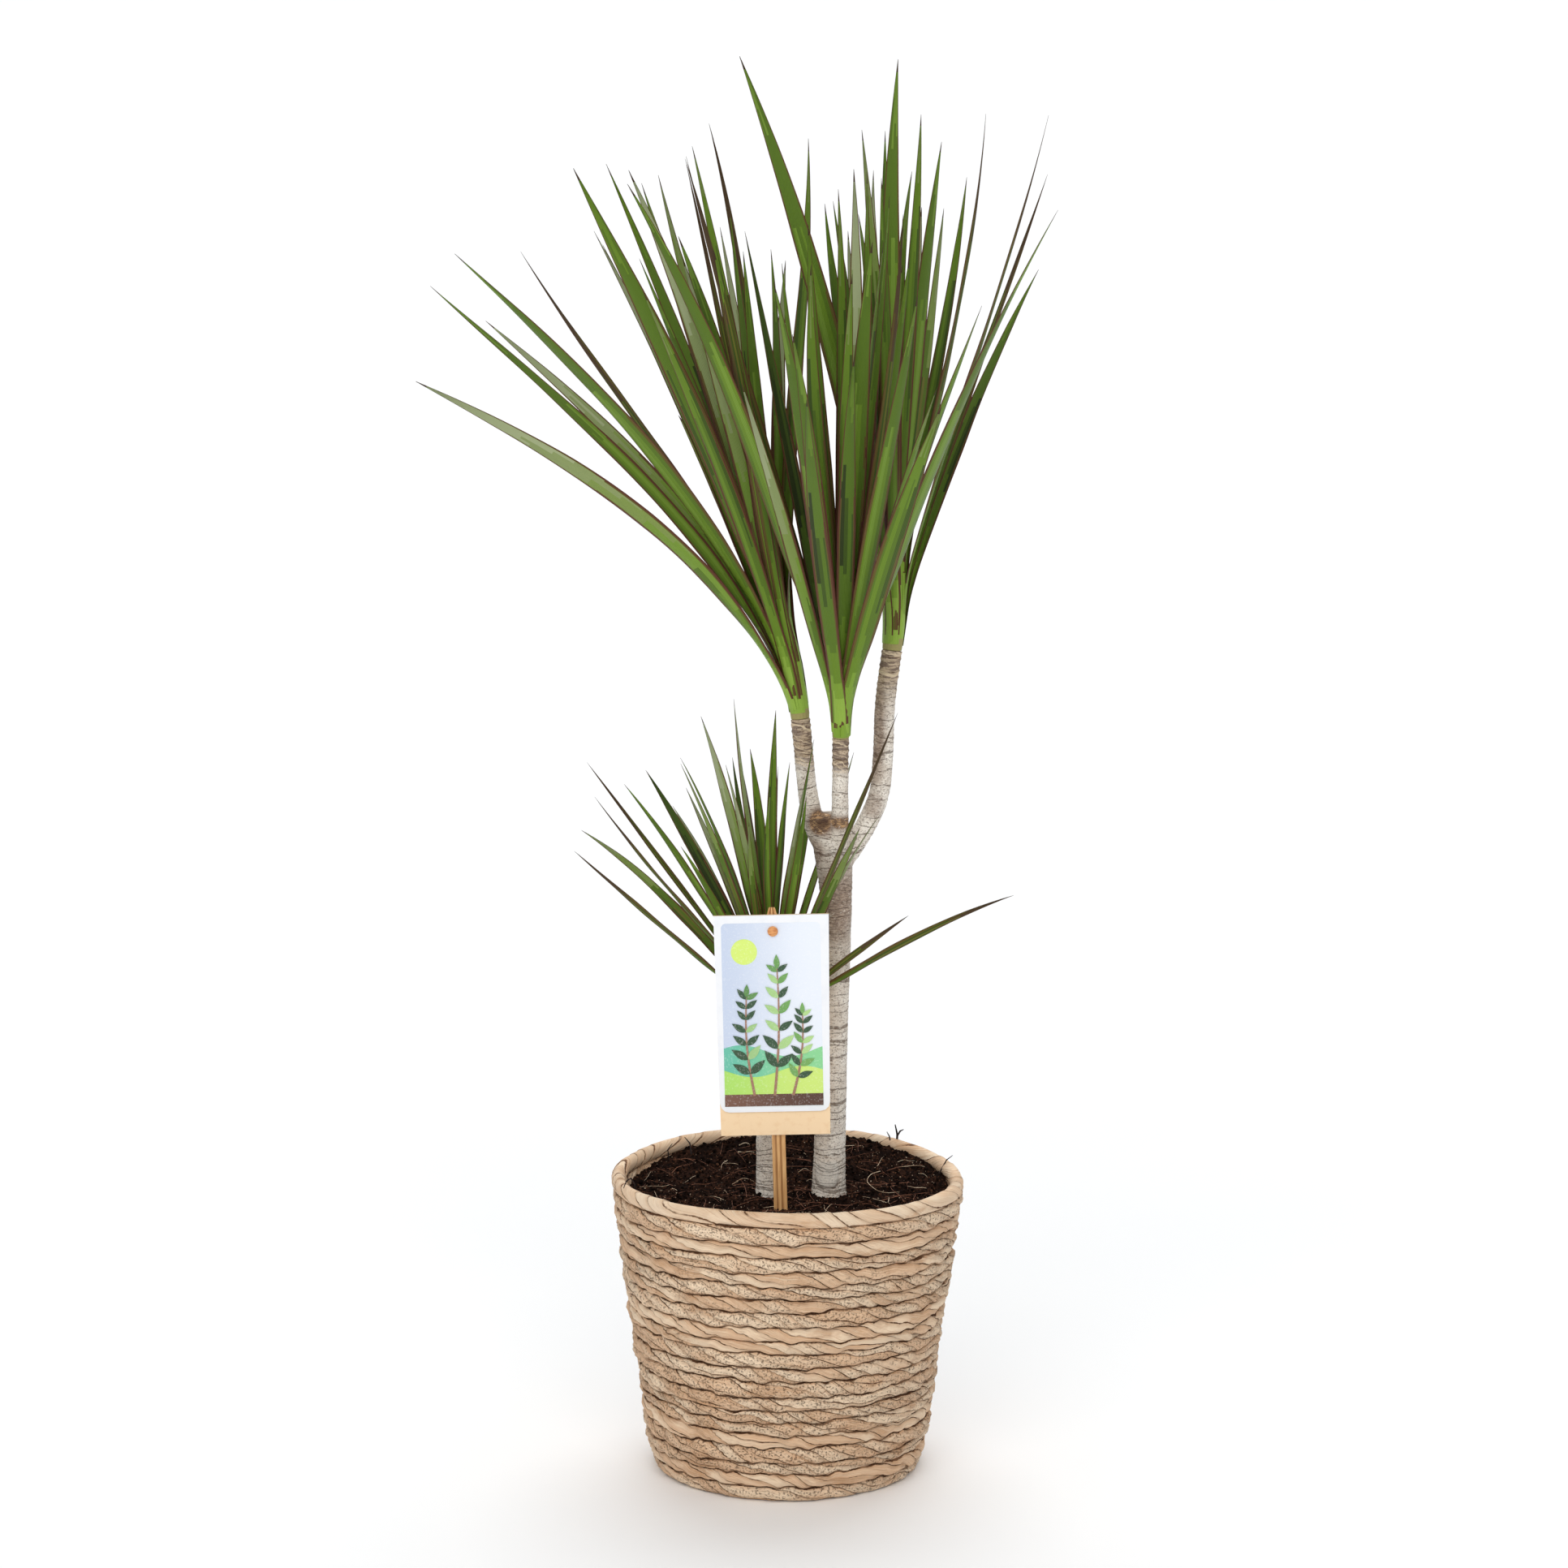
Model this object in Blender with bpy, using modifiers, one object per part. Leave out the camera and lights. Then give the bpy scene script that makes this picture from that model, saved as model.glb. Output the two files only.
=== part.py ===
"""Potted Madagascar dragon tree: a tall stem that forks in three and a short stem, in a rope basket.

Metres, +Z up. The origin is the centre of the basket's flat underside. +X is to the right and +Y
is away, as seen from the front, where the plant's label stands on its stick.
"""

import math
import random

import bmesh
import bpy
import numpy as np

MM = 0.001
GAP = 0.0003

# Basket: coils of rope on a cone, a thicker coil as its rim, and a flat floor
BASKET_HEIGHT = 0.197
BASE_RADIUS = 0.0880
WALL_TOP_RADIUS = 0.1132
RIM_RADIUS = 0.1162
RIM_TALL = 0.0125
RIM_THICK = 0.0095
RIM_CORNERS = 10
COIL_COUNT = 20
COIL_PROUD = 0.0016
COIL_SHAPE = ((1.0, 0.0), (0.72, 1.0), (0.28, 1.0))
FOOT_TUCK = 0.0035
FOOT_TUCK_TALL = 0.014
WALL_THICK = 0.0075
FLOOR_THICK = 0.006
ROUND_STEPS = 30

# Potting soil: flat round the stems, a little higher where it meets the wall
SOIL_TOP = 0.185
SOIL_HEAP = 0.005
SOIL_FLAT_RADIUS = 0.062
SOIL_EDGE_DROP = 0.002

# Stems: (right, back, up, radius), from the flat cut on the soil to the fork or the tip
STEMS = {
    "trunk": (
        (0.0275, -0.0020, SOIL_TOP + GAP, 0.0122),
        (0.0275, -0.0020, 0.192, 0.0112),
        (0.0280, -0.0020, 0.215, 0.0104),
        (0.0290, -0.0018, 0.260, 0.0101),
        (0.0303, -0.0012, 0.310, 0.0099),
        (0.0316, -0.0006, 0.355, 0.0100),
        (0.0316, 0.0000, 0.390, 0.0108),
        (0.0300, 0.0000, 0.412, 0.0120),
        (0.0268, -0.0010, 0.427, 0.0112),
        (0.0246, -0.0030, 0.440, 0.0082),
    ),
    "short_trunk": (
        (-0.0128, -0.0030, SOIL_TOP + GAP, 0.0086),
        (-0.0128, -0.0030, 0.192, 0.0078),
        (-0.0132, -0.0035, 0.215, 0.0073),
        (-0.0125, -0.0055, 0.250, 0.0069),
        (-0.0108, -0.0080, 0.280, 0.0066),
        (-0.0095, -0.0100, 0.300, 0.0066),
    ),
    "bough_left": (
        (0.0262, -0.0005, 0.416, 0.0075),
        (0.0190, 0.0010, 0.430, 0.0072),
        (0.0153, 0.0030, 0.443, 0.0066),
        (0.0129, 0.0045, 0.457, 0.0063),
        (0.0107, 0.0065, 0.480, 0.0062),
        (0.0085, 0.0080, 0.502, 0.0063),
    ),
    "bough_middle": (
        (0.0315, -0.0050, 0.412, 0.0068),
        (0.0338, -0.0080, 0.430, 0.0064),
        (0.0343, -0.0100, 0.443, 0.0056),
        (0.0343, -0.0125, 0.468, 0.0053),
        (0.0346, -0.0150, 0.494, 0.0055),
    ),
    "bough_right": (
        (0.0350, 0.0030, 0.407, 0.0072),
        (0.0450, 0.0060, 0.421, 0.0070),
        (0.0545, 0.0090, 0.437, 0.0068),
        (0.0605, 0.0120, 0.454, 0.0067),
        (0.0625, 0.0140, 0.478, 0.0066),
        (0.0638, 0.0165, 0.511, 0.0066),
        (0.0681, 0.0200, 0.545, 0.0066),
    ),
}
CUT_FROM = {"bough_left": ("trunk",), "bough_middle": ("trunk", "bough_left"),
            "bough_right": ("trunk", "bough_middle")}
STEM_STEP = 0.014
STEM_SIDES_LEVEL = 3

# Label: a stick in the soil, a kraft card on it, a leaflet in front of the card, and a round pin
STICK_FOOT = (-0.0042, -0.0420)
STICK_TOP = 0.3875
STICK_LEAN = -0.0058
STICK_WIDE = 0.0088
STICK_THICK = 0.0042
STICK_POINT_TALL = 0.009
STICK_POINT_SHARE = 0.45
CARD_X = -0.0105
CARD_TOP = 0.3835
CARD_TALL = 0.1470
CARD_TOP_WIDE = 0.0745
CARD_FOOT_WIDE = 0.0710
CARD_THICK = 0.0012
CARD_TURN = math.radians(-1.2)
LEAFLET_TALL = 0.1310
LEAFLET_THICK = 0.0010
LEAFLET_CORNER = 0.0060
PIN_RADIUS = 0.0034
PIN_PROUD = 0.0028
PIN_BELOW_TOP = 0.0105
PIN_STEPS = 16
LABEL_CLEAR = 0.008

# Leaf heads. Each sits on its stem's tip, round its own axis. A leading leaf is one that the outline
# needs: (right, back, up) in millimetres from the head's base to its tip, and its share of the width.
# The other leaves follow the rule in rule_tip. Spread is in degrees, to the sides and front to back.
# Rise is how far a leaf starts along its head's axis: none is straight to its tip, one is all axis.
HEADS = {
    "head_left": {
        "stem": "bough_left", "axis": (-0.22, 0.02, 1.0), "shoot": 0.052, "radius": 0.0066, "rise": 0.68,
        "leaves": 31, "spread": (12, 34), "length": 0.372, "width": 0.0142, "turn": 40, "seed": 11,
        "leading": (
            (-244, -48, 227, 0.85), (-239, 32, 278, 0.85), (-219, -38, 307, 1.0), (-206, 82, 249, 0.7),
            (-184, 112, 291, 0.45), (-142, -78, 365, 1.0), (-108, -60, 362, 0.9), (-129, 82, 299, 0.6),
            (-81, -118, 322, 0.95), (-72, -98, 373, 0.4), (-59, 52, 381, 0.45), (-81, 142, 178, 0.8),
            (5, 12, 375, 0.9),
        ),
    },
    "head_middle": {
        "stem": "bough_middle", "axis": (0.0, -0.17, 1.0), "shoot": 0.050, "radius": 0.0060, "rise": 0.15,
        "leaves": 28, "spread": (15, 31), "length": 0.355, "width": 0.0145, "turn": 200, "seed": 23,
        "leading": (
            (-134, -72, 365, 0.9), (134, -65, 348, 1.05), (18, -92, 331, 0.95), (86, -95, 292, 0.7),
            (-98, -40, 379, 0.45), (7, -40, 371, 0.85), (-43, -125, 310, 0.95), (60, -140, 235, 0.9),
        ),
    },
    "head_right": {
        "stem": "bough_right", "axis": (-0.04, 0.14, 1.0), "shoot": 0.066, "radius": 0.0070, "rise": 0.25,
        "leaves": 26, "spread": (13, 32), "length": 0.318, "width": 0.0132, "turn": 110, "seed": 37,
        "leading": (
            (2, -20, 384, 1.05), (-98, -70, 390, 1.1), (31, 20, 328, 0.95), (60, 40, 344, 0.42),
            (100, 30, 344, 0.42), (102, 80, 301, 0.45), (98, 110, 235, 0.8), (21, 130, 274, 0.9),
        ),
    },
    "head_low": {
        "stem": "short_trunk", "axis": (-0.10, 0.03, 1.0), "shoot": 0.046, "radius": 0.0068, "rise": 0.12,
        "leaves": 34, "spread": (36, 42), "length": 0.190, "width": 0.0108, "turn": 75, "seed": 53,
        "leading": (
            (-122, 50, 166, 0.45), (-115, -12, 156, 0.45), (-125, 20, 127, 0.9), (-129, 2, 117, 0.55),
            (-83, 30, 165, 1.0), (-46, -22, 211, 1.1), (-25, -10, 220, 1.1), (2, 40, 203, 0.9),
            (28, 80, 143, 0.8), (80, -50, 219, 0.5), (95, -46, 144, 0.9), (156, -22, 93, 0.6),
            (88, -24, 80, 0.6), (-15, 70, 171, 1.0),
        ),
    },
}

# The shoot that the leaves stand on: (share of its length, share of its radius)
SHOOT_SHAPE = ((0.0, 1.0), (0.12, 1.12), (0.35, 1.22), (0.62, 0.95), (0.85, 0.55), (1.0, 0.22))
FIRST_ROOT = 0.005
ROOTED_SHARE = 0.78
ROOT_SCATTER = 0.15
ROOT_OUT = 0.55

# How a leaf grows and bends. Shares are of the leaf's length, and angles are in degrees.
GOLDEN_ANGLE = 137.508
BEARING_SCATTER = 14.0
YOUNG_SPREAD = 0.22
YOUNG_LENGTH = 0.74
LENGTH_SCATTER = (0.74, 1.0)
WIDTH_SCATTER = (0.86, 1.06)
SLENDER_CHANCE = 0.14
SLENDER_SHARE = 0.55
GROWN_FROM = 0.25
GROWN_SPAN = 0.5
HANDLES = (0.36, 0.68)
LEAST_BOW = 0.015
BOW = 0.11
SWAY = 0.025
TWIST = 0.55
FRONT_TURN = 0.8
NEAR_AXIS = 0.12
LEAF_SAMPLES = 48
LEAF_STATIONS = (0.0, 0.13, 0.34, 0.57, 0.80, 1.0)
LEAF_THICK_SHARE = 0.0105
WIDTH_AT = ((0.0, 0.80), (0.10, 0.80), (0.30, 0.96), (0.46, 1.0), (0.66, 0.80), (0.82, 0.50),
            (0.94, 0.20), (1.0, 0.02))

# Room between leaves: what they keep clear by, and how a leaf that doesn't is tried again
LEAF_CLEAR = 0.0012
OWN_CLEAR = 0.007
OWN_CLEAR_FROM = 0.35
SAMPLE_STEP = 0.004
TRIES = 6
PULL_IN = 0.80

# Finishes: colour and roughness
FINISHES = {
    "rope": ((0.62, 0.46, 0.31), 0.85),
    "soil": ((0.035, 0.022, 0.016), 0.95),
    "bark": ((0.44, 0.38, 0.31), 0.85),
    "leaf": ((0.10, 0.22, 0.045), 0.45),
    "bamboo": ((0.70, 0.48, 0.25), 0.6),
    "kraft": ((0.86, 0.70, 0.50), 0.8),
    "leaflet": ((0.86, 0.90, 0.84), 0.3),
    "pin": ((0.72, 0.36, 0.17), 0.4),
}


# Scene and mesh helpers


def clear_scene():
    for item in list(bpy.data.objects):
        bpy.data.objects.remove(item)


def collection(name):
    made = bpy.data.collections.new(name)
    bpy.context.scene.collection.children.link(made)
    return made


def finish(name):
    """The material of that name, made once."""
    made = bpy.data.materials.get(name)
    if made is None:
        colour, roughness = FINISHES[name]
        made = bpy.data.materials.new(name)
        made.use_nodes = True
        shader = made.node_tree.nodes["Principled BSDF"]
        shader.inputs["Base Color"].default_value = (*colour, 1.0)
        shader.inputs["Roughness"].default_value = roughness
    return made


def add_object(name, mesh, parts, look):
    made = bpy.data.objects.new(name, mesh)
    parts.objects.link(made)
    mesh.materials.clear()
    mesh.materials.append(finish(look))
    return made


def evaluated_mesh(item):
    depsgraph = bpy.context.evaluated_depsgraph_get()
    return bpy.data.meshes.new_from_object(item.evaluated_get(depsgraph))


def apply_modifiers(item):
    mesh = evaluated_mesh(item)
    item.modifiers.clear()
    item.data = mesh


def weld(mesh):
    """Joins doubled points, and turns every face to the outside."""
    shape = bmesh.new()
    shape.from_mesh(mesh)
    bmesh.ops.remove_doubles(shape, verts=shape.verts, dist=0.00001)
    bmesh.ops.recalc_face_normals(shape, faces=shape.faces)
    shape.to_mesh(mesh)
    shape.free()


def mesh_from_curve(name, data):
    """The welded mesh of a curve, which goes."""
    item = bpy.data.objects.new(name, data)
    bpy.context.scene.collection.objects.link(item)
    mesh = evaluated_mesh(item)
    bpy.data.objects.remove(item)
    weld(mesh)
    return mesh


def keep_largest(item):
    """Keeps the widest of a mesh's shells: a sealed hollow is filled and a loose scrap dropped."""
    shape = bmesh.new()
    shape.from_mesh(item.data)
    waiting = set(shape.verts)
    shells = []
    while waiting:
        shell = set()
        front = {waiting.pop()}
        while front:
            shell |= front
            front = {edge.other_vert(v) for v in front for edge in v.link_edges} - shell
        waiting -= shell
        shells.append(shell)

    def width(shell):
        places = np.array([v.co for v in shell])
        return float(np.linalg.norm(places.max(0) - places.min(0)))

    shells.sort(key=width)
    scraps = [v for shell in shells[:-1] for v in shell]
    bmesh.ops.delete(shape, geom=scraps, context="VERTS")
    shape.to_mesh(item.data)
    shape.free()


def unit(vector):
    return vector / np.linalg.norm(vector)


# Stems


def smooth_route(points, step):
    """Points along a Catmull-Rom curve through (x, y, z, radius) points, about one a step."""
    known = [np.array(p, float) for p in points]
    ends = [2 * known[0] - known[1], *known, 2 * known[-1] - known[-2]]
    found = [known[0]]
    for before, start, end, after in zip(ends, ends[1:], ends[2:], ends[3:]):
        count = max(1, round(np.linalg.norm((end - start)[:3]) / step))
        for k in range(1, count + 1):
            t = k / count
            found.append(0.5 * (2 * start + (end - before) * t
                                + (2 * before - 5 * start + 4 * end - after) * t * t
                                + (3 * start - before - 3 * end + after) * t ** 3))
    return found


def tube_mesh(name, route, grow=0.0):
    """A closed tapering tube along (x, y, z, radius) points, fatter by grow."""
    data = bpy.data.curves.new(name, "CURVE")
    data.dimensions = "3D"
    data.bevel_depth = 1.0
    data.bevel_resolution = STEM_SIDES_LEVEL
    data.use_fill_caps = True
    spline = data.splines.new("POLY")
    spline.points.add(len(route) - 1)
    for point, place in zip(spline.points, route):
        point.co = (*place[:3], 1.0)
        point.radius = place[3] + grow
    return mesh_from_curve(name, data)


def make_stems(parts, cutters):
    """The two stems and the three boughs, each bough cut clear of what it grows from."""
    made = {name: add_object(name, tube_mesh(name, smooth_route(route, STEM_STEP)), parts, "bark")
            for name, route in STEMS.items()}
    for bough, others in CUT_FROM.items():
        for other in others:
            grown = tube_mesh(other + "_cutter", smooth_route(STEMS[other], STEM_STEP), GAP)
            cutter = add_object(other + "_cutter", grown, cutters, "bark")
            cut = made[bough].modifiers.new("cut", "BOOLEAN")
            cut.operation = "DIFFERENCE"
            cut.object = cutter
            apply_modifiers(made[bough])
            bpy.data.objects.remove(cutter)
        keep_largest(made[bough])


# Leaves: where each grows and how it bends


def shoot_route(head):
    """The shoot: it goes on from its stem's tip and turns to the head's own axis."""
    *_, last, end = (np.array(p, float) for p in STEMS[head["stem"]])
    onward = unit((end - last)[:3])
    axis = unit(np.array(head["axis"]))
    place = end[:3] + onward * GAP
    route, done = [], 0.0
    for along, share in SHOOT_SHAPE:
        place = place + unit(onward * (1 - along) + axis * along) * (along - done) * head["shoot"]
        done = along
        route.append(np.array([*place, head["radius"] * share]))
    return route


def point_on(route, along):
    """The point and the heading at a length along a route."""
    for start, end in zip(route, route[1:]):
        step = (end - start)[:3]
        length = np.linalg.norm(step)
        if along <= length or end is route[-1]:
            return start[:3] + step * (along / length), step / length
        along -= length


def blade_width(t):
    """Share of a leaf's full width at t, from its root at 0 to its tip at 1."""
    places, shares = zip(*WIDTH_AT)
    return np.interp(t, places, shares)


def rule_tip(head, root, order, count, rng):
    """A leaf's tip by the rule: the golden angle on from the last, more upright than the last."""
    axis = unit(np.array(head["axis"]))
    across = unit(np.cross((0.0, 1.0, 0.0), axis))
    away = np.cross(axis, across)
    age = 1.0 - order / count
    bearing = head["turn"] + order * GOLDEN_ANGLE + rng.uniform(-BEARING_SCATTER, BEARING_SCATTER)
    bearing = math.radians(bearing)
    side, deep = (math.tan(math.radians(angle * (YOUNG_SPREAD + (1 - YOUNG_SPREAD) * age)))
                  for angle in head["spread"])
    heading = unit(axis + across * side * math.cos(bearing) + away * deep * math.sin(bearing))
    grown = math.sin(math.pi * (GROWN_FROM + GROWN_SPAN * age))
    length = head["length"] * (YOUNG_LENGTH + (1 - YOUNG_LENGTH) * grown) * rng.uniform(*LENGTH_SCATTER)
    return root + heading * length


def leaf_between(head, root, tip, width, rng):
    """A leaf: points along its middle, its length and width, the way it faces and its twist."""
    axis = unit(np.array(head["axis"]))
    reach = tip - root
    length = np.linalg.norm(reach)
    chord = reach / length
    upward = np.array([0.0, 0.0, 1.0]) - chord * chord[2]
    lean = np.linalg.norm(upward)
    side = unit(np.cross(chord, (0.001, 0.0, 1.0)))
    first = root + unit(axis * head["rise"] + chord * (1 - head["rise"])) * length * HANDLES[0]
    second = (root + reach * HANDLES[1] + upward * length * (LEAST_BOW + BOW * lean)
              + side * length * rng.uniform(-SWAY, SWAY))
    t = np.linspace(0.0, 1.0, LEAF_SAMPLES)[:, None]
    line = (root * (1 - t) ** 3 + first * 3 * t * (1 - t) ** 2
            + second * 3 * t * t * (1 - t) + tip * t ** 3)
    outward = chord - axis * float(chord @ axis)
    bearing = rng.uniform(-math.pi, math.pi)
    if np.linalg.norm(outward) < NEAR_AXIS:
        outward = np.array([math.cos(bearing), math.sin(bearing), 0.0])
    outward = unit(outward)
    front = np.array([0.0, math.copysign(FRONT_TURN, outward[1]), 0.0])
    return {"line": line, "t": t[:, 0], "length": length, "width": head["width"] * width,
            "facing": unit(outward + front), "twist": rng.uniform(-TWIST, TWIST)}


def half_widths(leaf):
    return blade_width(leaf["t"]) * leaf["width"] / 2


def clear_of(leaf, taken):
    """Whether a leaf keeps clear of the label and of what is taken: (points, radii) pairs."""
    reach = half_widths(leaf) + LEAF_CLEAR
    for places, radii in taken:
        apart = np.linalg.norm(leaf["line"][:, None] - places[None], axis=2)
        if np.any(apart < reach[:, None] + radii[None]):
            return False
    x, y, z = leaf["line"].T
    level = (z > CARD_TOP - CARD_TALL - LABEL_CLEAR) & (z < STICK_TOP + LABEL_CLEAR)
    beside = level & (abs(x - CARD_X) < CARD_TOP_WIDE / 2 + LABEL_CLEAR)
    return not np.any(beside & (y < STICK_FOOT[1] + STICK_THICK + LABEL_CLEAR))


def crowded(leaf, own):
    """Whether a leaf's outer part runs into one of its own head's."""
    outer = leaf["line"][leaf["t"] > OWN_CLEAR_FROM]
    return any(np.any(np.linalg.norm(outer[:, None] - other["line"][None], axis=2) < OWN_CLEAR)
               for other in own)


def grow_leaf(head, order, taken, own):
    """The head's leaf of that order, tried again until it is clear and not crowded, or None."""
    rng = random.Random(head["seed"] * 1000 + order)
    route = shoot_route(head)
    base = route[0][:3]
    axis = unit(np.array(head["axis"]))
    leading = head["leading"]
    rest = head["leaves"] - len(leading)
    if order < len(leading):
        *reach, width = leading[order]
        lead_tip = base + np.array(reach) * MM
        lean = math.degrees(math.acos(float(unit(lead_tip - base) @ axis)))
        height = 1.0 - min(1.0, lean / max(head["spread"]))
    else:
        lead_tip = None
        width = rng.uniform(*WIDTH_SCATTER) * (SLENDER_SHARE if rng.random() < SLENDER_CHANCE else 1.0)
        height = (order - len(leading)) / rest
    rooted = (1 - ROOT_SCATTER) * height + ROOT_SCATTER * rng.random()
    root, heading = point_on(route, FIRST_ROOT + (head["shoot"] * ROOTED_SHARE - FIRST_ROOT) * rooted)
    pulled, spare = 1.0, None
    for _ in range(TRIES):
        tip = rule_tip(head, root, order - len(leading), rest, rng) if lead_tip is None else lead_tip
        on_axis = root + axis * float((tip - root) @ axis)
        tip = on_axis + (tip - on_axis) * pulled
        outward = (tip - root) - heading * float((tip - root) @ heading)
        start = root + unit(outward) * head["radius"] * ROOT_OUT * (1 - height)
        leaf = leaf_between(head, start, tip, width, rng)
        if not clear_of(leaf, taken):
            pulled *= PULL_IN
        elif crowded(leaf, own):
            spare = spare or leaf
        else:
            return leaf
    return spare


def samples(route):
    """Close points along a route, and its radius at each."""
    dense = np.array(smooth_route(route, SAMPLE_STEP))
    return dense[:, :3], dense[:, 3]


def grow_heads():
    """The leaves of every head, in turn, so that each keeps clear of those already grown."""
    stems = {name: samples(route) for name, route in STEMS.items()}
    shoots = {name: samples(shoot_route(head)) for name, head in HEADS.items()}
    grown = {name: [] for name in HEADS}
    for order in range(max(head["leaves"] for head in HEADS.values())):
        for name, head in HEADS.items():
            if order >= head["leaves"]:
                continue
            taken = [stems[other] for other in stems if other != head["stem"]]
            taken += [shoots[other] for other in HEADS if other != name]
            taken += [(leaf["line"], half_widths(leaf))
                      for other in HEADS if other != name for leaf in grown[other]]
            leaf = grow_leaf(head, order, taken, grown[name])
            if leaf:
                grown[name].append(leaf)
    return grown


def leaf_frames(leaf, stations):
    """(point, side, normal, width) of a leaf at each station."""
    frames = []
    for t in stations:
        place = t * (LEAF_SAMPLES - 1)
        low = min(int(place), LEAF_SAMPLES - 2)
        start, end = leaf["line"][low], leaf["line"][low + 1]
        along = unit(leaf["line"][min(low + 2, LEAF_SAMPLES - 1)] - leaf["line"][max(low - 1, 0)])
        side = unit(np.cross(along, leaf["facing"]))
        normal = np.cross(side, along)
        turn = leaf["twist"] * t
        frames.append((start + (end - start) * (place - low),
                       side * math.cos(turn) + normal * math.sin(turn),
                       normal * math.cos(turn) - side * math.sin(turn),
                       float(blade_width(t)) * leaf["width"]))
    return frames


def leaf_mesh(name, leaf):
    """A strap leaf: a flat four-cornered section, lofted from its root to a point."""
    shape = bmesh.new()
    *frames, (tip, *_) = leaf_frames(leaf, LEAF_STATIONS)
    rings = []
    for place, side, normal, width in frames:
        thick = leaf["length"] * LEAF_THICK_SHARE
        corners = (side * width, normal * thick, -side * width, -normal * thick)
        rings.append([shape.verts.new(place + corner / 2) for corner in corners])
    point = shape.verts.new(tip)
    for low, high in zip(rings, rings[1:]):
        for k in range(4):
            shape.faces.new((low[k], low[(k + 1) % 4], high[(k + 1) % 4], high[k]))
    for k in range(4):
        shape.faces.new((rings[-1][k], rings[-1][(k + 1) % 4], point))
    shape.faces.new(reversed(rings[0]))
    bmesh.ops.triangulate(shape, faces=shape.faces)
    bmesh.ops.recalc_face_normals(shape, faces=shape.faces)
    mesh = bpy.data.meshes.new(name)
    shape.to_mesh(mesh)
    shape.free()
    return mesh


def make_heads(parts):
    """Each head: its shoot with every leaf fused on by one union."""
    for name, leaves in grow_heads().items():
        item = add_object(name, tube_mesh(name, shoot_route(HEADS[name])), parts, "leaf")
        blades = collection(name + "_blades")
        for k, leaf in enumerate(leaves):
            blades.objects.link(bpy.data.objects.new(f"blade_{k}", leaf_mesh(f"blade_{k}", leaf)))
        union = item.modifiers.new("fuse", "BOOLEAN")
        union.operation = "UNION"
        union.operand_type = "COLLECTION"
        union.collection = blades
        union.solver = "MANIFOLD"
        apply_modifiers(item)
        for blade in list(blades.objects):
            bpy.data.objects.remove(blade)
        bpy.data.collections.remove(blades)
        keep_largest(item)
        item.data.materials.clear()
        item.data.materials.append(finish("leaf"))


# Basket and soil


def turned(name, profile, steps, parts, look, closed=False):
    """A turned solid, from (radius, height) points. A closed profile makes a ring."""
    mesh = bpy.data.meshes.new(name)
    edges = [(k, k + 1) for k in range(len(profile) - 1)]
    if closed:
        edges.append((len(profile) - 1, 0))
    mesh.from_pydata([(radius, 0.0, height) for radius, height in profile], edges, [])
    item = add_object(name, mesh, parts, look)
    screw = item.modifiers.new("turn", "SCREW")
    screw.steps = screw.render_steps = steps
    screw.use_merge_vertices = True
    screw.merge_threshold = 0.00001
    apply_modifiers(item)
    weld(item.data)
    item.data.shade_smooth()
    item.data.set_sharp_from_angle(angle=math.radians(30))
    return item


WALL_TOP = BASKET_HEIGHT - RIM_TALL - GAP


def wall_radius(height):
    """Outer radius of the rope coils at a height; the lowest coil is tucked under."""
    tuck = FOOT_TUCK * max(0.0, 1.0 - height / FOOT_TUCK_TALL) ** 2
    return BASE_RADIUS + (WALL_TOP_RADIUS - BASE_RADIUS) * height / WALL_TOP - tuck


def inner_radius(height):
    """Inner radius of the wall at a height, between the floor's and the top's."""
    low, high = wall_radius(FLOOR_THICK) - WALL_THICK, wall_radius(WALL_TOP) - WALL_THICK
    return low + (high - low) * (height - FLOOR_THICK) / (WALL_TOP - FLOOR_THICK)


def make_basket(parts):
    pitch = WALL_TOP / COIL_COUNT
    outer = []
    for coil in reversed(range(COIL_COUNT)):
        for share, proud in COIL_SHAPE:
            height = (coil + share) * pitch
            outer.append((wall_radius(height) - COIL_PROUD * (1 - proud), height))
    outer.append((wall_radius(0.0) - COIL_PROUD, 0.0))
    inner = [(inner_radius(height), height) for height in (FLOOR_THICK, WALL_TOP)]
    profile = [(0.0, FLOOR_THICK), *inner, *outer, (0.0, 0.0)]
    turned("basket", profile, ROUND_STEPS, parts, "rope")


def make_rim(parts):
    """The thicker coil that ends the basket, flat where it lies on the wall."""
    middle = (RIM_RADIUS - RIM_THICK / 2, BASKET_HEIGHT - RIM_TALL / 2)
    angles = [2 * math.pi * k / RIM_CORNERS for k in range(RIM_CORNERS)]
    flat = max(math.sin(a) for a in angles)
    profile = [(middle[0] + RIM_THICK / 2 * math.cos(a), middle[1] + RIM_TALL / 2 * math.sin(a) / flat)
               for a in reversed(angles)]
    turned("basket_rim", profile, ROUND_STEPS, parts, "rope", closed=True)


def make_soil(parts):
    rim_inside = RIM_RADIUS - RIM_THICK - 2 * GAP
    wall_gap = GAP / math.cos(math.pi / ROUND_STEPS)
    edge = min(rim_inside, inner_radius(WALL_TOP) - wall_gap)
    low = FLOOR_THICK + GAP
    profile = [
        (0.0, SOIL_TOP),
        (SOIL_FLAT_RADIUS, SOIL_TOP),
        ((SOIL_FLAT_RADIUS + edge) / 2, SOIL_TOP + SOIL_HEAP / 2),
        (edge - SOIL_EDGE_DROP, SOIL_TOP + SOIL_HEAP),
        (edge, SOIL_TOP - SOIL_EDGE_DROP),
        (inner_radius(low) - wall_gap, low),
        (0.0, low),
    ]
    turned("soil", profile, ROUND_STEPS, parts, "soil")


# The plant's label


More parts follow.
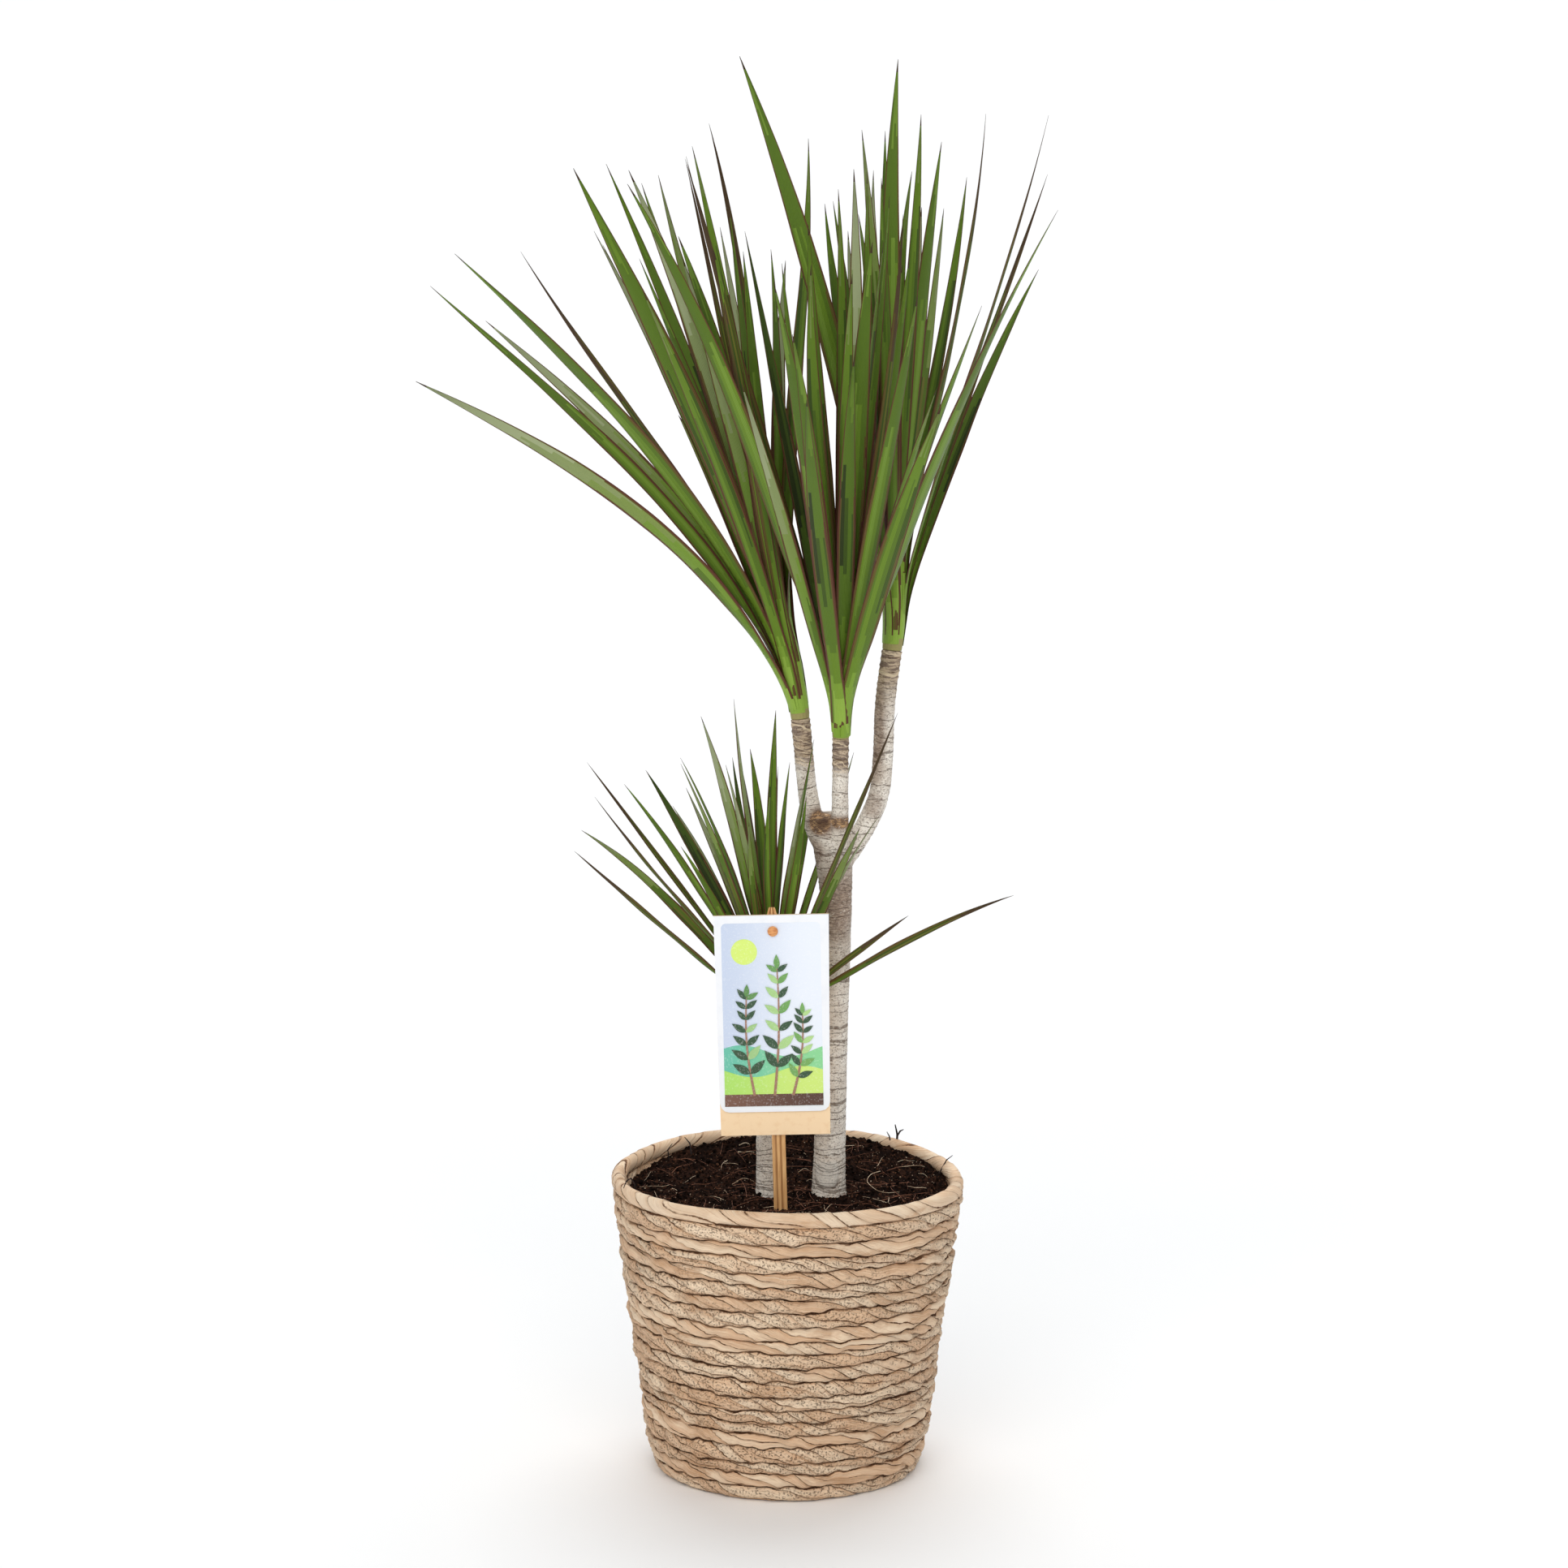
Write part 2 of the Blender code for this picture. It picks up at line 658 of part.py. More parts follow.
def plate(name, outline, thick, parts, look):
    """A flat plate that stands upright and faces the front, from an outline of (x, z) points."""
    data = bpy.data.curves.new(name, "CURVE")
    data.dimensions = "2D"
    data.fill_mode = "BOTH"
    data.extrude = thick / 2
    spline = data.splines.new("POLY")
    spline.points.add(len(outline) - 1)
    for point, (x, z) in zip(spline.points, outline):
        point.co = (x, z, 0.0, 1.0)
    spline.use_cyclic_u = True
    made = add_object(name, mesh_from_curve(name, data), parts, look)
    made.rotation_euler = (math.radians(90), 0.0, 0.0)
    return made


def card_outline(tall, corner):
    """The outline below a card's top edge: narrower at the foot, with round lower corners."""
    narrowing = (CARD_TOP_WIDE - CARD_FOOT_WIDE) / 2 * tall / CARD_TALL
    half_foot = CARD_TOP_WIDE / 2 - narrowing
    outline = [(CARD_TOP_WIDE / 2, 0.0), (-CARD_TOP_WIDE / 2, 0.0)]
    for sign, first in ((-1, 180), (1, 270)):
        if corner == 0.0:
            outline.append((sign * half_foot, -tall))
            continue
        for angle in range(first, first + 91, 30):
            turn = math.radians(angle)
            outline.append((sign * (half_foot - corner) + corner * math.cos(turn),
                            corner - tall + corner * math.sin(turn)))
    return outline


def make_stick(parts):
    tall = STICK_TOP - SOIL_TOP - GAP
    half = STICK_WIDE / 2
    shoulder = STICK_LEAN * (1 - STICK_POINT_TALL / tall)
    outline = [
        (-half, 0.0),
        (half, 0.0),
        (half + shoulder, tall - STICK_POINT_TALL),
        (STICK_LEAN + half * STICK_POINT_SHARE, tall),
        (STICK_LEAN - half * STICK_POINT_SHARE, tall),
        (-half + shoulder, tall - STICK_POINT_TALL),
    ]
    stick = plate("label_stick", outline, STICK_THICK, parts, "bamboo")
    stick.location = (*STICK_FOOT, SOIL_TOP + GAP)


def make_label(parts):
    """The card and the leaflet in front of the stick, held by a domed pin."""
    card_y = STICK_FOOT[1] - STICK_THICK / 2 - GAP - CARD_THICK / 2
    leaflet_y = card_y - CARD_THICK / 2 - GAP - LEAFLET_THICK / 2
    pin_y = leaflet_y - LEAFLET_THICK / 2 - GAP
    square, rounded = card_outline(CARD_TALL, 0.0), card_outline(LEAFLET_TALL, LEAFLET_CORNER)
    card = plate("label_card", square, CARD_THICK, parts, "kraft")
    leaflet = plate("label_leaflet", rounded, LEAFLET_THICK, parts, "leaflet")
    for item, y in ((card, card_y), (leaflet, leaflet_y)):
        item.location = (CARD_X, y, CARD_TOP)
        item.rotation_euler[1] = CARD_TURN
    dome = [(PIN_RADIUS * math.sin(a), PIN_PROUD * (1 + 2 * math.cos(a)) / 3)
            for a in (math.radians(30 * k) for k in range(4))]
    pin = turned("label_pin", [*dome, (PIN_RADIUS, 0.0), (0.0, 0.0)], PIN_STEPS, parts, "pin")
    pin.rotation_euler = (math.radians(90), 0.0, 0.0)
    pin.location = (CARD_X, pin_y, CARD_TOP - PIN_BELOW_TOP)


def main():
    clear_scene()
    parts = collection("potted_dragon_tree")
    cutters = collection("cutters")
    make_basket(parts)
    make_rim(parts)
    make_soil(parts)
    make_stems(parts, cutters)
    make_heads(parts)
    make_stick(parts)
    make_label(parts)


main()
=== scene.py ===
# %% [markdown]
# # A potted dragon tree
#
# This lesson dresses a imported CAD model of a houseplant: slender forking stems, four heads of
# narrow pointed leaves, a basket wound from dried plant rope, soil, and a plain label on a stick.
# The CAD model comes in first as a fixed frame. It says where everything is, in metres, so every
# new piece is made straight at its place. Its box is kept now, to be printed with the dressed plant's at the
# end.

# %% Load the fixed frame
import math
import random

import bpy
import numpy as np
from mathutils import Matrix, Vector, noise


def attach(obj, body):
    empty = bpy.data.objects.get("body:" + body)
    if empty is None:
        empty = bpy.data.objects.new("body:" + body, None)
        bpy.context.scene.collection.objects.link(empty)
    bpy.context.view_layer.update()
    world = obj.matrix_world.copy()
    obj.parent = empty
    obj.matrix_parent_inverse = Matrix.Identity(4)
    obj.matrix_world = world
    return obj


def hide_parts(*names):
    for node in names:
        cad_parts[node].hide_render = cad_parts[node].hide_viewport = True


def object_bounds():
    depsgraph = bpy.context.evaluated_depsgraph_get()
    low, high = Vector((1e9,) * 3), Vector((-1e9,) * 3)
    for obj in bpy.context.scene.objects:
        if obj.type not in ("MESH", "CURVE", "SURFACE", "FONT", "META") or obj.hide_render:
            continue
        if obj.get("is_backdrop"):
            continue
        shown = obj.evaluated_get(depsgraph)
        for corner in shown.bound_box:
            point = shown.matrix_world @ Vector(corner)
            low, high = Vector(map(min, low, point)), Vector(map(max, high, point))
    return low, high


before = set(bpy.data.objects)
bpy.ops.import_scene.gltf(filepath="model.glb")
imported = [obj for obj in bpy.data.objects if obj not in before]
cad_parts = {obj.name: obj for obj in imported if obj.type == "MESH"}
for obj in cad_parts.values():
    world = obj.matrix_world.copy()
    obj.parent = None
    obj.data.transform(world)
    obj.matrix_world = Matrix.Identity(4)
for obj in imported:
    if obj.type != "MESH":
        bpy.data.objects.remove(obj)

cad_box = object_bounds()
MM = 0.001
GAP = 0.0003
print("CAD nodes:", ", ".join(sorted(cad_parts)))

# %% [markdown]
# ## Camera, floor and light
#
# A product photograph is taken from a little above with a long lens, in a tent of white cloth.
# The tent could be built as walls and a curved backdrop. A near-white world does the same from
# every side at once, so other views of the plant are lit as well as this one. A broad soft lamp in
# front, a little to the left, gives the forms a brighter and a darker side, and one above and behind
# draws the shadow forward under the basket. Both are of the sun kind, whose light doesn't fade with
# distance, so the far floor is as white as the near one.

# %% Camera
PHOTO_WIDTH = 1932
FOCAL_PIXELS = 7125
SENSOR_WIDTH = 36
CAMERA_PLACE = (-0.0021, -3.68, 1.231)
CAMERA_DOWN = math.radians(11.83)

bpy.ops.object.select_all(action="DESELECT")
bpy.ops.object.camera_add(location=CAMERA_PLACE, rotation=(math.pi / 2 - CAMERA_DOWN, 0, 0))
camera = bpy.context.object
camera.name = "camera"
camera.data.sensor_width = SENSOR_WIDTH
camera.data.lens = SENSOR_WIDTH * FOCAL_PIXELS / PHOTO_WIDTH
bpy.context.scene.camera = camera
bpy.context.scene.view_settings.view_transform = "Standard"
print("lens", round(camera.data.lens, 1), "mm")

# %% Colours and selection
def srgb(red, green, blue):
    """Turns a colour as read off a screen, 0 to 255, into the linear values that shaders take."""
    linear = []
    for share in (red / 255, green / 255, blue / 255):
        linear.append(share / 12.92 if share <= 0.04045 else ((share + 0.055) / 1.055) ** 2.4)
    return (*linear, 1.0)


def only(*objects):
    """Selects these objects and nothing else, with the first one active."""
    bpy.ops.object.select_all(action="DESELECT")
    for item in objects:
        item.select_set(True)
    bpy.context.view_layer.objects.active = objects[0]


# %% World and lamps
WORLD_COLOUR = srgb(252, 253, 255)
WORLD_STRENGTH = 0.52
LAMPS = {
    "front": {"place": (-0.15, -1.4, 0.9), "softness": 60, "strength": 1.30, "colour": srgb(255, 252, 247)},
    "top": {"place": (0.10, 1.05, 2.0), "softness": 46, "strength": 1.22, "colour": srgb(252, 254, 255)},
}

world = bpy.data.worlds.new("white tent")
bpy.context.scene.world = world
world.use_nodes = True
world.node_tree.nodes["Background"].inputs["Color"].default_value = WORLD_COLOUR
world.node_tree.nodes["Background"].inputs["Strength"].default_value = WORLD_STRENGTH

for name, lamp in LAMPS.items():
    bpy.ops.object.light_add(type="SUN", location=lamp["place"])
    light = bpy.context.object
    light.name = "lamp_" + name
    light.data.angle = math.radians(lamp["softness"])
    light.data.energy = lamp["strength"]
    light.data.color = lamp["colour"][:3]
    light.rotation_euler = (-Vector(lamp["place"])).to_track_quat("-Z", "Y").to_euler()
print(len(LAMPS), "lamps")

# %% [markdown]
# ## Tools for shader nodes
#
# Every finish here is made from nodes, and most need the same few moves: add a node and link it,
# mix two colours, do a sum, or turn a value into a soft-edged mask. Small helpers keep each
# material short enough to read as a recipe.

# %% Node helpers
def add_node(tree, kind, inputs=None, **settings):
    """Adds one shader node, sets its properties, then fills or links its inputs."""
    node = tree.nodes.new("ShaderNode" + kind)
    for name, value in settings.items():
        setattr(node, name, value)
    for name, value in (inputs or {}).items():
        if isinstance(value, bpy.types.NodeSocket):
            tree.links.new(value, node.inputs[name])
        else:
            node.inputs[name].default_value = value
    return node


def mixed(tree, share, first, second):
    """Mixes two colours by a share."""
    return add_node(tree, "Mix", {0: share, 6: first, 7: second}, data_type="RGBA").outputs[2]


def sum_of(tree, operation, *values):
    """Does one sum, such as MULTIPLY or FLOOR, on values or sockets."""
    return add_node(tree, "Math", dict(enumerate(values)), operation=operation).outputs[0]


def times(tree, first, second):
    return add_node(tree, "Math", {0: first, 1: second}, operation="MULTIPLY").outputs[0]


def mask(tree, value, start, end):
    """A soft step: 0 where the value is at start, 1 where it is at end."""
    inputs = {"Value": value, "From Min": start, "From Max": end}
    return add_node(tree, "MapRange", inputs, interpolation_type="SMOOTHSTEP").outputs["Result"]


def tinted(tree, tone, colour, value, start, end, share=1.0):
    """Lays a colour over a tone where a value runs from start to end, in full or by a share."""
    here = mask(tree, value, start, end)
    return mixed(tree, here if share == 1.0 else times(tree, here, share), tone, colour)


def clouds(tree, vector, scale, detail=2.0, roughness=0.5):
    """Soft random patches between 0 and 1, most of them near a half."""
    inputs = {"Vector": vector, "Scale": scale, "Detail": detail, "Roughness": roughness}
    return add_node(tree, "TexNoise", inputs).outputs[0]


def stretched(tree, vector, x, y, z):
    """Scales a vector unevenly, so that a pattern on it is drawn out in one direction."""
    return add_node(tree, "VectorMath", {0: vector, 1: (x, y, z)}, operation="MULTIPLY").outputs[0]


# %% Material and group helpers
def start_group(name, inputs, outputs):
    """Starts a node group with named inputs and outputs, and returns it with both ends."""
    group = bpy.data.node_groups.new(name, "ShaderNodeTree")
    for title, kind, value in inputs:
        socket = group.interface.new_socket(title, in_out="INPUT", socket_type="NodeSocket" + kind)
        if value is not None:
            socket.default_value = value
    for title, kind in outputs:
        group.interface.new_socket(title, in_out="OUTPUT", socket_type="NodeSocket" + kind)
    return group, group.nodes.new("NodeGroupInput").outputs, group.nodes.new("NodeGroupOutput").inputs


def start_material(name, roughness, shine=0.5, colour=None):
    """Starts a material: its node tree, its shader, and the object's own coordinates."""
    made = bpy.data.materials.new(name)
    made.use_nodes = True
    shader = made.node_tree.nodes["Principled BSDF"]
    shader.inputs["Roughness"].default_value = roughness
    shader.inputs["Specular IOR Level"].default_value = shine
    if colour:
        shader.inputs["Base Color"].default_value = colour
    place = made.node_tree.nodes.new("ShaderNodeTexCoord").outputs["Object"]
    return made, made.node_tree, shader, place


def link_colour(tree, shader, colour):
    tree.links.new(colour, shader.inputs["Base Color"])


def link_bump(tree, shader, height, depth):
    """Feeds a height through a Bump node, depth metres high, into the shader's normal."""
    bump = add_node(tree, "Bump", {"Height": height, "Distance": depth, "Strength": 1.0})
    tree.links.new(bump.outputs["Normal"], shader.inputs["Normal"])


# %% [markdown]
# ## The floor
#
# In the photograph the plant stands on white, with a soft shadow close to the basket. A plane
# reaches past everything that the camera sees, and a faint mottling keeps it from being one dead
# flat value. It is declared as stage, so it is never taken for a part of the plant.

# %% Floor
FLOOR_SIZE = 70.0

bpy.ops.mesh.primitive_plane_add(size=FLOOR_SIZE)
floor = bpy.context.object
floor.name = "floor"
floor_finish, tree, shader, place = start_material("white floor", 0.7)
mottling = clouds(tree, place, 3.0)
link_colour(tree, shader, mixed(tree, mottling, srgb(250, 251, 252), srgb(254, 254, 254)))
floor.data.materials.append(floor_finish)
floor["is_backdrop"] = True
print("floor", FLOOR_SIZE, "m")

# %% [markdown]
# ## Tools for shapes
#
# Plants and rope are too irregular for straight cuts. Each piece starts as a primitive with enough
# faces, and its points are then moved in code, the way a sculptor pushes clay. These helpers read
# and write all of a mesh's points at once, and hand a finished piece over to the frame.

# %% Mesh helpers
def added(primitive, **settings):
    """Adds one primitive, selected alone, and returns it."""
    bpy.ops.object.select_all(action="DESELECT")
    primitive(**settings)
    return bpy.context.object


def mesh_object(name, points, faces):
    """A new object whose mesh has these points and faces."""
    mesh = bpy.data.meshes.new(name)
    mesh.from_pydata(points, [], faces)
    made = bpy.data.objects.new(name, mesh)
    bpy.context.scene.collection.objects.link(made)
    return made


def points_of(item):
    """All of a mesh's points, one row each."""
    points = np.empty(len(item.data.vertices) * 3, dtype=np.float32)
    item.data.vertices.foreach_get("co", points)
    return points.reshape(-1, 3).astype(float)


def move_points(item, points):
    item.data.vertices.foreach_set("co", np.asarray(points, dtype=np.float32).ravel())
    item.data.update()


def apply_modifier(item, kind, **settings):
    """Adds one modifier and applies it at once."""
    only(item)
    modifier = item.modifiers.new(kind.lower(), kind)
    for name, value in settings.items():
        setattr(modifier, name, value)
    bpy.ops.object.modifier_apply(modifier=modifier.name)


def join(*objects):
    """Makes one mesh of several."""
    only(*objects)
    bpy.ops.object.join()
    return bpy.context.object


def face_outwards(item):
    only(item)
    bpy.ops.object.mode_set(mode="EDIT")
    bpy.ops.mesh.select_all(action="SELECT")
    bpy.ops.mesh.normals_make_consistent(inside=False)
    bpy.ops.object.mode_set(mode="OBJECT")


def smooth(item, angle=40.0):
    only(item)
    bpy.ops.object.shade_smooth_by_angle(angle=math.radians(angle))


def settle(item, name, slot, *nodes):
    """Fixes a piece's place in its mesh, names it, and hands it to the frame."""
    only(item)
    bpy.ops.object.transform_apply(location=True, rotation=True, scale=True)
    item.name = name
    item.data.name = name
    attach(item, "root")
    if nodes:
        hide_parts(*nodes)
    triangles = sum(len(face.vertices) - 2 for face in item.data.polygons)
    print(name, triangles, "triangles")


def ripple(angle, seed, orders, size):
    """A wavy line that closes on itself: a few whole numbers of waves round a circle."""
    chance = np.random.default_rng(seed)
    total = np.zeros_like(angle)
    for order in orders:
        total = total + chance.uniform(0.4, 1.0) * np.sin(order * angle + chance.uniform(0, math.tau))
    return total * size / len(orders)


# %% [markdown]
# ## The rope finish
#
# The basket is wound from rope twisted out of dried water-plant leaves. Each twist shows a strip of
# leaf that slants across the rope, cream where it is smooth and tan where it is rough, with dark gaps
# of painted shade where one turn of rope meets the next. The strips could be modelled one by one, but
# there are hundreds of them. The rope's mesh gives their swelling, and this node group draws the rest
# on the rope's own map: across the map strips follow each other, one for each whole number, and up it
# runs round the rope, with the gaps at 1 and -1.

# %% Rope strands group
group, given, result = start_group(
    "Rope strands",
    [("Strands", "Vector", None), ("Place", "Vector", None), ("Pale", "Color", None),
     ("Tan", "Color", None), ("Ochre", "Color", None), ("Gap", "Color", None), ("Wear", "Float", 1.0)],
    [("Colour", "Color"), ("Height", "Float")])
rope_group = group
strands = add_node(group, "SeparateXYZ", {0: given["Strands"]}).outputs
strand = sum_of(group, "FLOOR", strands[0])
across = sum_of(group, "FRACT", strands[0])
course = sum_of(group, "FLOOR", times(group, strands[0], 0.01))
strand_chance = add_node(group, "TexWhiteNoise", {"W": strand}, noise_dimensions="1D").outputs["Value"]
course_chance = add_node(group, "TexWhiteNoise", {"W": course}, noise_dimensions="1D").outputs["Value"]

# Creases: a thin dark line of painted shade on each side of a strip, stronger in some places than in others.
edge_near = sum_of(group, "MINIMUM", across, sum_of(group, "SUBTRACT", 1.0, across))
edge_wobble = clouds(group, given["Place"], 300.0, 4.0, 0.65)
crease = mask(group, sum_of(group, "MULTIPLY_ADD", edge_wobble, 0.14, edge_near), 0.125, 0.088)
crease_chance = mask(group, clouds(group, given["Place"], 70.0, 2.0), 0.40, 0.58)
crease = times(group, crease, sum_of(group, "MULTIPLY_ADD", crease_chance, 0.70, 0.30))

# The gap between two turns: painted shade in the crevice as a crisp broken dark line, and a soft painted
# brown shade on both its sides.
from_gap = sum_of(group, "ABSOLUTE", sum_of(group, "SUBTRACT", sum_of(group, "ABSOLUTE", strands[1]), 1.0))
gap_wobble = clouds(group, stretched(group, given["Place"], 1, 1, 2.5), 150.0, 5.0, 0.7)
gap = mask(group, sum_of(group, "MULTIPLY_ADD", gap_wobble, -0.85, from_gap), -0.07, -0.16)
gap_chance = mask(group, clouds(group, given["Place"], 48.0, 2.0), 0.38, 0.54)
gap = times(group, gap, sum_of(group, "MULTIPLY_ADD", gap_chance, 0.60, 0.40))
shade = times(group, mask(group, from_gap, 0.60, 0.14), 0.60)

# Fibres run along each strip, and rough places are pitted.
fibres = clouds(group, stretched(group, given["Strands"], 22.0, 1.0, 1.0), 1.0, 3.0, 0.65)
patches = clouds(group, stretched(group, given["Place"], 1, 1, 1.8), 36.0, 3.0, 0.6)
pits = clouds(group, given["Place"], 720.0, 3.0, 0.7)
rough_share = sum_of(group, "MULTIPLY_ADD", patches, 0.9, course_chance)
crumbly = times(group, mask(group, rough_share, 0.80, 1.05), given["Wear"])
pitted = times(group, mask(group, pits, 0.46, 0.36), crumbly)

# Each strip has its own tone, and is painted darker towards its lower edge, as shade on a rounded strip.
pale_share = sum_of(group, "MULTIPLY_ADD", patches, 1.0, times(group, strand_chance, 0.85))
stains = clouds(group, stretched(group, given["Place"], 1, 1, 2.2), 24.0, 4.0, 0.65)
tone = tinted(group, given["Tan"], given["Pale"], pale_share, 0.70, 1.12)
# Stains and fibres are the rope's own colour; ochre by the across value is the painted shade on each strip's
# lower edge.
for colour, value, start, end, share in (
        ("Ochre", stains, 0.50, 0.68, 0.80), ("Pale", fibres, 0.50, 0.64, 0.75),
        ("Ochre", fibres, 0.45, 0.32, 0.80), ("Ochre", across, 0.60, 1.0, 0.40)):
    tone = tinted(group, tone, given[colour], value, start, end, share)
# The soft brown painted shade beside the gaps.
tone = mixed(group, shade, tone, given["Ochre"])
dark = sum_of(group, "MAXIMUM", sum_of(group, "MAXIMUM", gap, crease), times(group, pitted, 0.65))
group.links.new(mixed(group, dark, tone, given["Gap"]), result["Colour"])
height = sum_of(group, "MULTIPLY_ADD", fibres, 0.8, times(group, edge_wobble, 0.25))
for hollow, depth in ((crease, 0.6), (gap, 0.8), (pitted, 0.8)):
    height = sum_of(group, "SUBTRACT", height, times(group, hollow, depth))
group.links.new(height, result["Height"])

# %% Rope materials
STRAND_MAP = "strands"


def rope_material(name, pale, tan, ochre, gap_colour, wear):
    """The rope finish in its own colours."""
    made, tree, shader, place = start_material(name, 0.78, shine=0.25)
    strand_map = add_node(tree, "UVMap", uv_map=STRAND_MAP).outputs["UV"]
    look = add_node(tree, "Group", {"Strands": strand_map, "Place": place, "Pale": pale, "Tan": tan,
                                    "Ochre": ochre, "Gap": gap_colour, "Wear": wear}, node_tree=rope_group)
    link_colour(tree, shader, look.outputs["Colour"])
    link_bump(tree, shader, look.outputs["Height"], 0.0013)
    return made


rope_finish = rope_material("dried rope", srgb(252, 226, 195), srgb(234, 196, 160), srgb(204, 158, 118),
                            srgb(104, 70, 46), 1.0)
rim_finish = rope_material("smooth rim rope", srgb(250, 226, 197), srgb(238, 206, 173), srgb(212, 168, 128),
                           srgb(122, 84, 56), 0.25)

# %% [markdown]
# ## The basket
#
# The real wall is one long rope wound round and round and stitched. A single spiral could follow it,
# but twenty closed rings look the same and stay simple: each ring is a torus primitive with its
# points moved. A ring runs between two wavy lines, so that no two turns are equally tall, its front
# swells once for each strip, and the lowest ring is pressed flat on the floor.

# %% Basket sizes
BASKET_HEIGHT = 0.197
BASE_RADIUS = 0.0880
WALL_TOP_RADIUS = 0.1134
RIM_RADIUS = 0.1162
RIM_TALL = 0.0100
RIM_THICK = 0.0095
COURSE_COUNT = 20
FOOT_TUCK = 0.0035
FOOT_TUCK_TALL = 0.014
WALL_TOP = BASKET_HEIGHT - RIM_TALL - GAP
ROPE_PROUD = 0.0018
ROPE_HALF_THICK = 0.0044
WARP_MEAN = 0.0027
WARP_RIGHT = -0.0013
WARP_BACK = -0.00145
WARP_SADDLE = -0.00145


def wall_radius(height):
    """The basket's outside radius at a height: a straight cone with its foot tucked in."""
    straight = BASE_RADIUS + (WALL_TOP_RADIUS - BASE_RADIUS) * height / WALL_TOP
    return straight - FOOT_TUCK * np.maximum(0, 1 - height / FOOT_TUCK_TALL) ** 2


def warp(angle):
    """How far the top of this hand-wound basket rises above an even height, all round."""
    tilt = WARP_RIGHT * np.cos(angle) + WARP_BACK * np.sin(angle)
    return WARP_MEAN + tilt + WARP_SADDLE * np.cos(2 * angle)


# %% Wavy lines between the courses
COURSE_PITCH = WALL_TOP / COURSE_COUNT
COURSE_SHIFT = 0.0013
COURSE_WAVE = 0.0038
COURSE_NICKS = 0.0019


def course_line(number, angle):
    """The height of the gap under a course, all round. The lowest one is level."""
    level = number * COURSE_PITCH + warp(angle) * (number / COURSE_COUNT) ** 2
    if number in (0, COURSE_COUNT):
        return level
    shift = random.Random(700 + number).uniform(-COURSE_SHIFT, COURSE_SHIFT)
    wave = ripple(angle, 500 + number, (1, 2, 3, 5, 8, 13, 21), COURSE_WAVE)
    nicks = ripple(angle, 600 + number, (19, 27, 34, 43, 58), COURSE_NICKS)
    return level + shift + wave + nicks


# %% Ring of rope
LEAN = 0.7
STRIP_WANDER = 1.6


def corner_values(item, angle):
    """An angle at each face's four corners, unwrapped so that no face jumps back over the seam."""
    corners = np.empty(len(item.data.loops), dtype=np.int32)
    item.data.loops.foreach_get("vertex_index", corners)
    found = angle[corners].reshape(-1, 4)
    jump = np.ptp(found, axis=1, keepdims=True) > math.pi
    return np.where(jump & (found < 0), found + math.tau, found)


def strand_phase(around, round_rope, count, seed, lean=LEAN):
    """Which strip a place on the rope belongs to: whole numbers are the creases between strips."""
    uneven = ripple(around, seed, (2, 3, 5, 7, 11), STRIP_WANDER)
    return count * around / math.tau + lean * np.sin(round_rope) + uneven


def map_strands(item, around, round_rope, count, seed, number, lean=LEAN, gap_below_only=False):
    """Gives a ring its map: strips across, and the way round the rope up."""
    across = strand_phase(corner_values(item, around), corner_values(item, round_rope), count, seed, lean)
    across = across - count * np.floor(across.mean(axis=1, keepdims=True) / count)
    up = corner_values(item, round_rope) / (math.pi / 2)
    # On the rim the gap's painted shade is kept only on the underside, where the rim sits on the wall.
    if gap_below_only:
        up = np.where((up < 0) & (up > -1.3), up, 0.4 * np.abs(np.sin(up)))
    layer = item.data.uv_layers.new(name=STRAND_MAP)
    both = np.stack((across + 100 * number, up), axis=-1)
    layer.data.foreach_set("uv", both.astype(np.float32).ravel())


def rope_ring(radius, steps, sides):
    """A torus primitive, and for each of its points the angle round it and round the rope."""
    ring = added(bpy.ops.mesh.primitive_torus_add, major_segments=steps, minor_segments=sides,
                 major_radius=radius, minor_radius=COURSE_PITCH / 2, generate_uvs=False)
    x, y, z = points_of(ring).T
    return ring, np.arctan2(y, x), np.arctan2(z, np.hypot(x, y) - radius)


def place_ring(ring, around, reach, height):
    """Puts a ring's points at their distance from the middle and their height."""
    move_points(ring, np.stack((reach * np.cos(around), reach * np.sin(around), height), axis=1))


# %% Courses of the wall
COURSE_STEPS = 680
COURSE_SIDES = 14
STRIP_SPACING = (0.017, 0.031)
STRIP_SWELL = 0.0020
STRIP_UNEVEN = 0.0011
FLUTES = 4
FLUTE_DEEP = 0.00022
SECTION_POWER = 0.85
COURSE_OVERLAP = 1.04
COURSE_BULGE = 0.0022
UNDER_RIM = 0.0010


def strip_relief(phase, count, seed):
    """How far each strip stands out: it swells in the middle, each one by its own amount, and is fluted."""
    inside = phase - np.floor(phase)
    swell = (4 * inside * (1 - inside)) ** 0.6
    chance = np.random.default_rng(seed).uniform(-1, 1, count)
    own = chance[np.floor(phase).astype(int) % count]
    flutes = np.sin(math.tau * FLUTES * (phase + 0.12 * np.sin(5 * phase)))
    return STRIP_SWELL * (swell - 0.6) + STRIP_UNEVEN * own * swell + FLUTE_DEEP * flutes


def squared_off(value):
    """Pushes a sine or cosine outwards, which squares off the rope's round section."""
    return np.sign(value) * np.abs(value) ** SECTION_POWER


